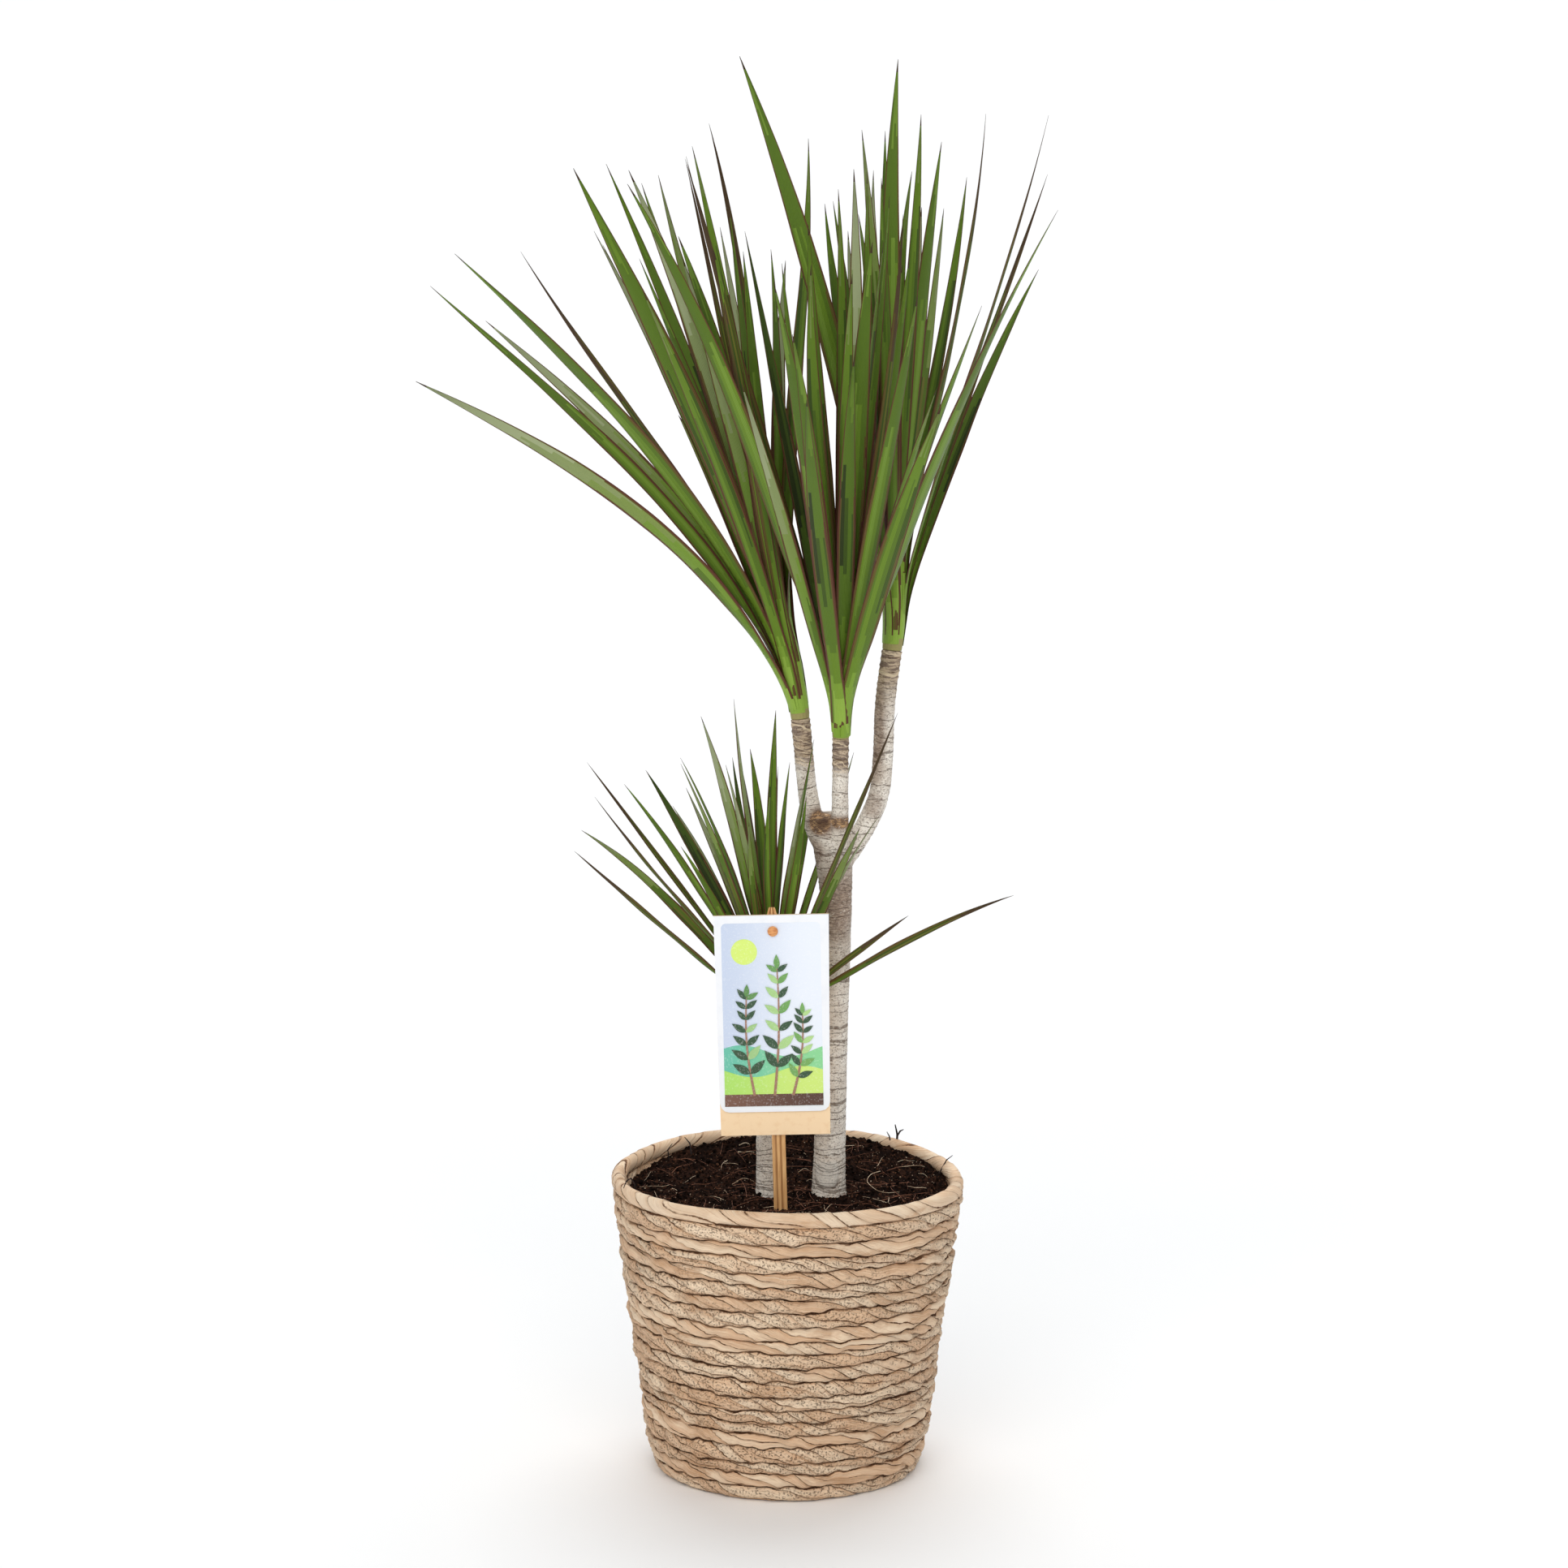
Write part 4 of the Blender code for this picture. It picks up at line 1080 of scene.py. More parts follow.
raise_bark(forked_stem, ("trunk", "bough_left", "bough_middle", "bough_right"), True)
raise_bark(cane, ("short_trunk",), False)

# %% Bark finish
def attribute(tree, name):
    return add_node(tree, "Attribute", attribute_name=name).outputs["Fac"]


def from_line(tree, place, scale, detail):
    """How far a place along one axis is from the nearest of some unevenly spaced lines: 0 on a line."""
    inputs = {"W": place, "Scale": scale, "Detail": detail}
    found = add_node(tree, "TexNoise", inputs, noise_dimensions="1D").outputs[0]
    return sum_of(tree, "ABSOLUTE", sum_of(tree, "SUBTRACT", found, 0.5))


bark_finish, tree, shader, place = start_material("grey bark", 0.82, shine=0.25)
young, stain_and_shade, pad, brown_and_shade_here = (attribute(tree, name) for name in ("young", "stain_and_shade", "pad", "brown"))
parts = add_node(tree, "SeparateXYZ", {0: place}).outputs
drift = clouds(tree, place, 55.0, 3.0)
dashes = clouds(tree, stretched(tree, place, 1, 1, 3.4), 300.0, 4.0, 0.70)
speckle = clouds(tree, place, 850.0, 3.0, 0.65)
specks = clouds(tree, stretched(tree, place, 1, 1, 1.5), 460.0, 3.0, 0.6)
tone = tinted(tree, srgb(244, 237, 226), srgb(226, 216, 203), drift, 0.38, 0.62)
tone = tinted(tree, tone, srgb(160, 142, 124), dashes, 0.53, 0.64, 0.55)
tone = tinted(tree, tone, srgb(116, 101, 88), speckle, 0.55, 0.65, 0.70)
tone = tinted(tree, tone, srgb(252, 247, 240), dashes, 0.44, 0.30, 0.55)

# Browner bark at the fork and under it, painted shade down the right bough's left side, and small dark pores
# all over.
rusty_and_shade = tinted(tree, srgb(164, 140, 120), srgb(192, 154, 112), brown_and_shade_here, 0.84, 1.10)
rusty_and_shade = tinted(tree, rusty_and_shade, srgb(112, 88, 72), dashes, 0.42, 0.56)
tone = mixed(tree, times(tree, brown_and_shade_here, mask(tree, specks, 0.24, 0.42)), tone, rusty_and_shade)
tone = tinted(tree, tone, srgb(110, 92, 78), specks, 0.58, 0.66, 0.60)

# Old leaf scars: thin level lines round the stem, broken here and there.
scar_place = sum_of(tree, "MULTIPLY_ADD", drift, 0.010, parts[2])
scar = mask(tree, from_line(tree, scar_place, 95.0, 1.0), 0.020, 0.004)
scar = times(tree, scar, mask(tree, dashes, 0.36, 0.52))
tone = mixed(tree, times(tree, scar, 0.7), tone, srgb(98, 78, 62))

# Young bark: brown with dark level wrinkles and a few cream ring lines at a slant.
wrinkles = clouds(tree, stretched(tree, place, 1, 1, 6.0), 90.0, 3.0, 0.6)
brown = tinted(tree, srgb(190, 166, 136), srgb(104, 78, 58), wrinkles, 0.44, 0.58)
brown = tinted(tree, brown, srgb(84, 64, 50), speckle, 0.52, 0.62, 0.5)
tone = mixed(tree, times(tree, young, 0.85), tone, brown)
slant = sum_of(tree, "MULTIPLY_ADD", parts[0], 0.30, sum_of(tree, "MULTIPLY_ADD", drift, 0.016, parts[2]))
ring_line = times(tree, mask(tree, from_line(tree, slant, 120.0, 0.0), 0.022, 0.008), young)
# Cream ring lines and the pale pad are the bark's own; the dark is the knot's brown and painted shade in the
# groove under the pad.
for here, share, colour in ((ring_line, 0.80, srgb(228, 208, 176)), (pad, 0.45, srgb(222, 220, 213)),
                            (stain_and_shade, 0.85, srgb(74, 52, 40))):
    tone = mixed(tree, times(tree, here, share), tone, colour)
link_colour(tree, shader, tone)
bark_height = sum_of(tree, "MULTIPLY_ADD", speckle, 0.45, dashes)
bark_height = sum_of(tree, "SUBTRACT", bark_height, times(tree, scar, 0.6))
bark_height = sum_of(tree, "MULTIPLY_ADD", times(tree, wrinkles, young), 1.4, bark_height)
link_bump(tree, shader, bark_height, 0.0008)
forked_stem.data.materials.append(bark_finish)
cane.data.materials.append(bark_finish)
settle(forked_stem, "forked_stem_bark", "bark", "trunk", "bough_left", "bough_middle", "bough_right")
settle(cane, "short_stem_bark", "bark", "short_trunk")

# %% [markdown]
# ## Where each leaf runs
#
# A dragon tree's leaves stand round the tip of each shoot, every next one about 137.5 degrees
# further round. The CAD model grows its heads by a rule: the leading leaves are given by their
# tips, and the rest fill in between by that angle, each one kept clear of the other heads. The
# same rule with the same values is written here again, so that every fine leaf lies where its
# solid one does.

# %% Heads
HEADS = {
    "head_left": {
        "stem": "bough_left", "axis": (-0.22, 0.02, 1.0), "shoot": 0.052, "radius": 0.0066,
        "rise": 0.68, "leaves": 31, "spread": (12, 34), "length": 0.372, "width": 0.0142,
        "turn": 40, "seed": 11, "leading": (
            (-244, -48, 227, 0.85), (-239, 32, 278, 0.85), (-219, -38, 307, 1.0), (-206, 82, 249, 0.7),
            (-184, 112, 291, 0.45), (-142, -78, 365, 1.0), (-108, -60, 362, 0.9), (-129, 82, 299, 0.6),
            (-81, -118, 322, 0.95), (-72, -98, 373, 0.4), (-59, 52, 381, 0.45), (-81, 142, 178, 0.8),
            (5, 12, 375, 0.9))},
    "head_middle": {
        "stem": "bough_middle", "axis": (0.0, -0.17, 1.0), "shoot": 0.050, "radius": 0.0060,
        "rise": 0.15, "leaves": 28, "spread": (15, 31), "length": 0.355, "width": 0.0145,
        "turn": 200, "seed": 23, "leading": (
            (-134, -72, 365, 0.9), (134, -65, 348, 1.05), (18, -92, 331, 0.95), (86, -95, 292, 0.7),
            (-98, -40, 379, 0.45), (7, -40, 371, 0.85), (-43, -125, 310, 0.95), (60, -140, 235, 0.9))},
    "head_right": {
        "stem": "bough_right", "axis": (-0.04, 0.14, 1.0), "shoot": 0.066, "radius": 0.0070,
        "rise": 0.25, "leaves": 26, "spread": (13, 32), "length": 0.318, "width": 0.0132,
        "turn": 110, "seed": 37, "leading": (
            (2, -20, 384, 1.05), (-98, -70, 390, 1.1), (31, 20, 328, 0.95), (60, 40, 344, 0.42),
            (100, 30, 344, 0.42), (102, 80, 301, 0.45), (98, 110, 235, 0.8), (21, 130, 274, 0.9))},
    "head_low": {
        "stem": "short_trunk", "axis": (-0.10, 0.03, 1.0), "shoot": 0.046, "radius": 0.0068,
        "rise": 0.12, "leaves": 34, "spread": (36, 42), "length": 0.190, "width": 0.0108,
        "turn": 75, "seed": 53, "leading": (
            (-122, 50, 166, 0.45), (-115, -12, 156, 0.45), (-125, 20, 127, 0.9), (-129, 2, 117, 0.55),
            (-83, 30, 165, 1.0), (-46, -22, 211, 1.1), (-25, -10, 220, 1.1), (2, 40, 203, 0.9),
            (28, 80, 143, 0.8), (80, -50, 219, 0.5), (95, -46, 144, 0.9), (156, -22, 93, 0.6),
            (88, -24, 80, 0.6), (-15, 70, 171, 1.0))},
}
SHOOT_SHAPE = ((0.0, 1.0), (0.12, 1.12), (0.35, 1.22), (0.62, 0.95), (0.85, 0.55), (1.0, 0.22))

# %% The label's place, which leaves keep clear of
STICK_FOOT = (-0.0042, -0.0420)
STICK_TOP = 0.3875
STICK_LEAN = -0.0058
STICK_WIDE = 0.0088
STICK_THICK = 0.0042
STICK_POINT_TALL = 0.009
STICK_POINT_SHARE = 0.45
CARD_X = -0.0105
CARD_TOP = 0.3835
CARD_TALL = 0.1470
CARD_TOP_WIDE = 0.0745
CARD_THICK = 0.0012
CARD_TURN = math.radians(-1.2)
LEAFLET_THICK = 0.0010
PIN_RADIUS = 0.0034
PIN_PROUD = 0.0028
PIN_BELOW_TOP = 0.0105
LABEL_CLEAR = 0.008

# %% Shoots
FIRST_ROOT = 0.005
ROOTED_SHARE = 0.78
ROOT_SCATTER = 0.15
ROOT_OUT = 0.55


def shoot_route(head):
    """A shoot's route: it leaves along its stem and turns to the head's own axis."""
    *_, last, end = (np.array(p, float) for p in STEMS[head["stem"]])
    onward = unit((end - last)[:3])
    axis = unit(np.array(head["axis"]))
    place = end[:3] + onward * GAP
    route, done = [], 0.0
    for along, share in SHOOT_SHAPE:
        place = place + unit(onward * (1 - along) + axis * along) * (along - done) * head["shoot"]
        done = along
        route.append(np.array([*place, head["radius"] * share]))
    return route


def point_on(route, along):
    """The place and the heading at a distance along a route."""
    for start, end in zip(route, route[1:]):
        step = (end - start)[:3]
        length = np.linalg.norm(step)
        if along <= length or end is route[-1]:
            return start[:3] + step * (along / length), step / length
        along -= length


# %% The rule for a leaf's tip
GOLDEN_ANGLE = 137.508
BEARING_SCATTER = 14.0
YOUNG_SPREAD = 0.22
YOUNG_LENGTH = 0.74
LENGTH_SCATTER = (0.74, 1.0)
GROWN_FROM = 0.25
GROWN_SPAN = 0.5


def rule_tip(head, root, order, count, rng):
    """Where a filling leaf ends: the older it is, the further it leans out."""
    axis = unit(np.array(head["axis"]))
    across = unit(np.cross((0.0, 1.0, 0.0), axis))
    away = np.cross(axis, across)
    age = 1.0 - order / count
    bearing = head["turn"] + order * GOLDEN_ANGLE + rng.uniform(-BEARING_SCATTER, BEARING_SCATTER)
    bearing = math.radians(bearing)
    side, deep = (math.tan(math.radians(angle * (YOUNG_SPREAD + (1 - YOUNG_SPREAD) * age)))
                  for angle in head["spread"])
    heading = unit(axis + across * side * math.cos(bearing) + away * deep * math.sin(bearing))
    grown = math.sin(math.pi * (GROWN_FROM + GROWN_SPAN * age))
    length = head["length"] * (YOUNG_LENGTH + (1 - YOUNG_LENGTH) * grown) * rng.uniform(*LENGTH_SCATTER)
    return root + heading * length


# %% The curve from root to tip
HANDLES = (0.36, 0.68)
LEAST_BOW = 0.015
BOW = 0.11
SWAY = 0.025
TWIST = 0.55
FRONT_TURN = 0.8
NEAR_AXIS = 0.12
LEAF_SAMPLES = 48
WIDTH_AT = ((0.0, 0.80), (0.10, 0.80), (0.30, 0.96), (0.46, 1.0), (0.66, 0.80), (0.82, 0.50), (0.94, 0.20),
            (1.0, 0.02))


def blade_width(t):
    places, shares = zip(*WIDTH_AT)
    return np.interp(t, places, shares)


def leaf_between(head, root, tip, width, rng):
    """A leaf's middle line: it starts steeply, bows out, and its tip comes up again."""
    axis = unit(np.array(head["axis"]))
    reach = tip - root
    length = np.linalg.norm(reach)
    chord = reach / length
    upward = np.array([0.0, 0.0, 1.0]) - chord * chord[2]
    lean = np.linalg.norm(upward)
    side = unit(np.cross(chord, (0.001, 0.0, 1.0)))
    first = root + unit(axis * head["rise"] + chord * (1 - head["rise"])) * length * HANDLES[0]
    second = (root + reach * HANDLES[1] + upward * length * (LEAST_BOW + BOW * lean)
              + side * length * rng.uniform(-SWAY, SWAY))
    t = np.linspace(0.0, 1.0, LEAF_SAMPLES)[:, None]
    line = (root * (1 - t) ** 3 + first * 3 * t * (1 - t) ** 2
            + second * 3 * t * t * (1 - t) + tip * t ** 3)
    outward = chord - axis * float(chord @ axis)
    bearing = rng.uniform(-math.pi, math.pi)
    if np.linalg.norm(outward) < NEAR_AXIS:
        outward = np.array([math.cos(bearing), math.sin(bearing), 0.0])
    outward = unit(outward)
    front = np.array([0.0, math.copysign(FRONT_TURN, outward[1]), 0.0])
    return {"line": line, "t": t[:, 0], "length": length, "width": head["width"] * width,
            "facing": unit(outward + front), "twist": rng.uniform(-TWIST, TWIST)}


# %% Room between leaves
LEAF_CLEAR = 0.0012
OWN_CLEAR = 0.007
OWN_CLEAR_FROM = 0.35


def half_widths(leaf):
    return blade_width(leaf["t"]) * leaf["width"] / 2


def clear_of(leaf, taken):
    """Whether a leaf stays clear of the other heads, their stems and the label."""
    reach = half_widths(leaf) + LEAF_CLEAR
    for places, radii in taken:
        apart = np.linalg.norm(leaf["line"][:, None] - places[None], axis=2)
        if np.any(apart < reach[:, None] + radii[None]):
            return False
    x, y, z = leaf["line"].T
    level = (z > CARD_TOP - CARD_TALL - LABEL_CLEAR) & (z < STICK_TOP + LABEL_CLEAR)
    beside = level & (abs(x - CARD_X) < CARD_TOP_WIDE / 2 + LABEL_CLEAR)
    return not np.any(beside & (y < STICK_FOOT[1] + STICK_THICK + LABEL_CLEAR))


def crowded(leaf, own):
    outer = leaf["line"][leaf["t"] > OWN_CLEAR_FROM]
    return any(np.any(np.linalg.norm(outer[:, None] - other["line"][None], axis=2) < OWN_CLEAR)
               for other in own)


# %% Growing the heads
WIDTH_SCATTER = (0.86, 1.06)
SLENDER_CHANCE = 0.14
SLENDER_SHARE = 0.55
SAMPLE_STEP = 0.004
TRIES = 6
PULL_IN = 0.80


def grow_leaf(head, order, taken, own):
    """One leaf of a head, or None where there is no room for it."""
    rng = random.Random(head["seed"] * 1000 + order)
    route = shoot_route(head)
    base = route[0][:3]
    axis = unit(np.array(head["axis"]))
    leading = head["leading"]
    rest = head["leaves"] - len(leading)
    if order < len(leading):
        *reach, width = leading[order]
        lead_tip = base + np.array(reach) * MM
        lean = math.degrees(math.acos(float(unit(lead_tip - base) @ axis)))
        height = 1.0 - min(1.0, lean / max(head["spread"]))
    else:
        lead_tip = None
        width = rng.uniform(*WIDTH_SCATTER) * (SLENDER_SHARE if rng.random() < SLENDER_CHANCE else 1.0)
        height = (order - len(leading)) / rest
    rooted = (1 - ROOT_SCATTER) * height + ROOT_SCATTER * rng.random()
    root, heading = point_on(route, FIRST_ROOT + (head["shoot"] * ROOTED_SHARE - FIRST_ROOT) * rooted)
    pulled, spare = 1.0, None
    for _ in range(TRIES):
        tip = rule_tip(head, root, order - len(leading), rest, rng) if lead_tip is None else lead_tip
        on_axis = root + axis * float((tip - root) @ axis)
        tip = on_axis + (tip - on_axis) * pulled
        outward = (tip - root) - heading * float((tip - root) @ heading)
        start = root + unit(outward) * head["radius"] * ROOT_OUT * (1 - height)
        leaf = leaf_between(head, start, tip, width, rng)
        if not clear_of(leaf, taken):
            pulled *= PULL_IN
        elif crowded(leaf, own):
            spare = spare or leaf
        else:
            return leaf
    return spare


def samples(route):
    dense = np.array(smooth_route(route, SAMPLE_STEP))
    return dense[:, :3], dense[:, 3]


def grow_heads():
    """All heads grow together, one leaf at a time, so that each finds the others' leaves."""
    stems = {name: samples(route) for name, route in STEMS.items()}
    shoots = {name: samples(shoot_route(head)) for name, head in HEADS.items()}
    grown = {name: [] for name in HEADS}
    for order in range(max(head["leaves"] for head in HEADS.values())):
        for name, head in HEADS.items():
            if order >= head["leaves"]:
                continue
            taken = [stems[other] for other in stems if other != head["stem"]]
            taken += [shoots[other] for other in HEADS if other != name]
            taken += [(leaf["line"], half_widths(leaf))
                      for other in HEADS if other != name for leaf in grown[other]]
            leaf = grow_leaf(head, order, taken, grown[name])
            if leaf:
                grown[name].append(leaf)
    return grown


grown_heads = grow_heads()
print({name: len(leaves) for name, leaves in grown_heads.items()}, "leaves")

# %% [markdown]
# ## Leaf colours
#
# A leaf is lime where it clasps the shoot, green along the blade, and edged in maroon on both
# sides. One material could paint all of that with a pattern, but a pattern on a leaf this thin
# gets lost when the model is exported. So each tone is a plain material of its own, and the faces
# are dealt out among them, column by column. What they share, the fine lines that run along the
# blade, is a node group that only feeds the bump.

# %% Leaf lines group
LEAF_MAP = "blade"

group, given, result = start_group("Leaf lines", [("Blade", "Vector", None), ("Count", "Float", 16.0)],
                                   [("Height", "Float")])
leaf_lines = group
blade = add_node(group, "SeparateXYZ", {0: given["Blade"]}).outputs
wander = clouds(group, stretched(group, given["Blade"], 5.0, 9.0, 1.0), 1.0, 2.0)
line = sum_of(group, "MULTIPLY_ADD", wander, 0.8, times(group, blade[0], given["Count"]))
wave = sum_of(group, "SINE", times(group, line, math.tau))
lines_height = sum_of(group, "MULTIPLY_ADD", wave, 0.5, times(group, wander, 1.2))
group.links.new(lines_height, result["Height"])

# %% Leaf tones
LEAF_TONES = {
    "maroon edge": (srgb(90, 50, 34), 0.45),
    "soft edge": (srgb(96, 84, 36), 0.45),
    "lime base": (srgb(140, 172, 66), 0.42),
    "soft lime": (srgb(122, 154, 50), 0.42),
    "bright green": (srgb(102, 132, 36), 0.42),
    "light green": (srgb(114, 144, 50), 0.42),
    "leaf green": (srgb(86, 113, 30), 0.42),
    "dark green": (srgb(64, 85, 24), 0.45),
    "deep green": (srgb(46, 59, 18), 0.45),
    "olive green": (srgb(108, 107, 42), 0.45),
    "sage green": (srgb(124, 144, 72), 0.46),
    "grey green": (srgb(136, 150, 96), 0.50),
    "pale green": (srgb(158, 168, 126), 0.50),
    "dry tip": (srgb(84, 66, 45), 0.60),
    "dry base": (srgb(152, 144, 92), 0.65),
}
leaf_tones = {}
for name, (colour, roughness) in LEAF_TONES.items():
    made, tree, shader, place = start_material(name, roughness, shine=0.20, colour=colour)
    blade_map = add_node(tree, "UVMap", uv_map=LEAF_MAP).outputs["UV"]
    lines = add_node(tree, "Group", {"Blade": blade_map}, node_tree=leaf_lines)
    link_bump(tree, shader, lines.outputs["Height"], 0.00012)
    leaf_tones[name] = made
TONE_ORDER = {name: k for k, name in enumerate(LEAF_TONES)}
print(len(leaf_tones), "leaf tones")

# %% [markdown]
# ## One leaf blank, bent a hundred times
#
# All leaves are the same strap, so one blank is modelled: a grid primitive, given a thickness by a
# Solidify modifier. Each copy is then bent along its own line. Its section is wrapped round the
# shoot at the base and opens to a shallow channel, its edges wave a little, and it thins to a
# thread at the tip.

# %% Leaf blank
LEAF_COLUMNS = np.array([-1.0, -0.9, -0.8, -0.68, -0.5, -0.3, -0.1, 0.1, 0.3, 0.5, 0.68, 0.8, 0.9, 1.0])
LEAF_ROWS = 44

leaf_blank = added(bpy.ops.mesh.primitive_grid_add, x_subdivisions=len(LEAF_COLUMNS) - 1,
                   y_subdivisions=LEAF_ROWS, size=1)
apply_modifier(leaf_blank, "SOLIDIFY", thickness=1.0, offset=0.0)
flat = points_of(leaf_blank)
blank_column = np.round((flat[:, 0] + 0.5) * (len(LEAF_COLUMNS) - 1)).astype(int)
blank_across = LEAF_COLUMNS[blank_column]
blank_along = flat[:, 1] + 0.5
blank_side = np.sign(flat[:, 2])
face_corners = [tuple(face.vertices) for face in leaf_blank.data.polygons]
face_across, face_along, face_side, face_column = (
    np.array([values[list(corners)].mean() for corners in face_corners])
    for values in (blank_across, blank_along, blank_side, blank_column))
layer = leaf_blank.data.uv_layers.new(name=LEAF_MAP)
all_corners = [corner for corners in face_corners for corner in corners]
blade_places = np.stack((blank_across[all_corners] / 2 + 0.5, blank_along[all_corners]), axis=1)
layer.data.foreach_set("uv", blade_places.astype(np.float32).ravel())
for finish in leaf_tones.values():
    leaf_blank.data.materials.append(finish)
print("leaf blank", len(flat), "points,", len(face_corners), "faces")

# %% A leaf's own sway
SWAY_MOST = 0.011
SLENDER_BELOW = 0.65
SLENDER_CURL = 0.050


def swayed(head, leaf, rng):
    """Bends a leaf between its root and its tip, which stay: a little, or a slender one more."""
    t = leaf["t"][:, None]
    chord = unit(leaf["line"][-1] - leaf["line"][0])
    away = unit(leaf["facing"] - chord * float(leaf["facing"] @ chord))
    slender = leaf["width"] < SLENDER_BELOW * head["width"]
    outward = SLENDER_CURL * rng.uniform(0.6, 1.0) if slender else rng.uniform(-SWAY_MOST, SWAY_MOST)
    bend = away * outward + np.cross(chord, away) * rng.uniform(-SWAY_MOST, SWAY_MOST)
    # The hump is 1 at its highest, three fifths of the way along.
    hump = t ** 1.5 * (1 - t) * 5.4
    return {**leaf, "line": leaf["line"] + leaf["length"] * hump * bend, "slender": slender}


# %% Sheaths on the shoot
SHEATH_LONG = 0.033
LEAST_SHEATH = 0.012
SHEATH_STEP = 0.0015
SHEATH_PILE = 0.0013
SHEATH_FOOT = 0.88
SHEATH_FOOT_PILE = 0.35
SHEATH_TUCKED = 0.97
SHEATH_SLANT = 0.0028
SHEATH_SMOOTHING = 24
SHEATH_SAMPLES = 44
OUTER_SHARE = 0.62


def piled_shares(head, leaves):
    """How far out each sheath lies in the pile round the shoot: 1 for the lowest, 0 for the highest."""
    axis = unit(np.array(head["axis"]))
    heights = [float(leaf["line"][0] @ axis) for leaf in leaves]
    return 1 - np.argsort(np.argsort(heights)) / (len(leaves) - 1)


def with_sheath(head, leaf, piled, rng):
    """A leaf's full line: its sheath climbs the shoot and spreads from it, and runs on as the blade."""
    shoot = np.array(smooth_route(shoot_route(head), SHEATH_STEP))
    line = leaf["line"]
    apart = np.linalg.norm(line[:, None] - shoot[None, :, :3], axis=2)
    nearest = apart.argmin(axis=1)
    reached = apart[np.arange(len(line)), nearest]
    first = max(1, int(np.argmax(reached > shoot[nearest, 3])))
    leaving = max(3, int(nearest[first]))
    outward = line[first] - shoot[leaving, :3]
    heading = unit(shoot[leaving, :3] - shoot[leaving - 2, :3])
    outward = unit(outward - heading * float(outward @ heading))
    slanted = round(SHEATH_SLANT * (1 - outward[0]) / SHEATH_STEP) + rng.choice((0, 1))
    low = min(max(slanted, leaving - round(SHEATH_LONG / SHEATH_STEP)), leaving - 2)
    tucked = shoot[0, 3] * SHEATH_TUCKED + SHEATH_PILE * piled
    foot = shoot[0, 3] * SHEATH_FOOT + SHEATH_PILE * SHEATH_FOOT_PILE * piled
    opening = np.linspace(0, 1, leaving - low) ** 1.2
    reach = foot + (max(reached[first], tucked) - foot) * opening
    sheath = shoot[low:leaving, :3] + outward * reach[:, None]
    full = np.concatenate((sheath, line[first + 1:]))
    steps = np.linalg.norm(np.diff(full, axis=0), axis=1)
    done = np.concatenate(([0.0], np.cumsum(steps)))
    even = np.linspace(0, done[-1], 3 * LEAF_SAMPLES)
    full = np.stack([np.interp(even, done, full[:, axis]) for axis in range(3)], axis=1)
    early = full[:SHEATH_SAMPLES]
    for _ in range(SHEATH_SMOOTHING):
        early[1:-1] = (early[:-2] + 2 * early[1:-1] + early[2:]) / 4
    bare = max(LEAST_SHEATH, done[len(sheath) - 1])
    return {**leaf, "line": full, "sheath": bare / done[-1], "clasp": outward, "tucked": tucked,
            "outermost": piled > OUTER_SHARE}


# %% Bending a leaf
LEAF_THICK = 0.00050
EDGE_THICK = 0.00022
SHEATH_FOLD_MOST = math.radians(72)
BLADE_FOLD = math.radians(21)
TIP_FOLD = math.radians(26)
RIB_PROUD = 0.00015
EDGE_WAVE = 0.00035
SHEATH_WIDE = 1.34


def on_blade(leaf, along):
    """How far along the blade proper a place is: 0 all through the sheath, 1 at the tip."""
    return np.clip((along - leaf["sheath"]) / (1 - leaf["sheath"]), 0, 1)


def half_width(leaf, along):
    blade = on_blade(leaf, along)
    widening = np.interp(blade, (0.0, 0.10, 1.0), (SHEATH_WIDE, 1.0, 1.0))
    return blade_width(blade) * leaf["width"] / 2 * widening


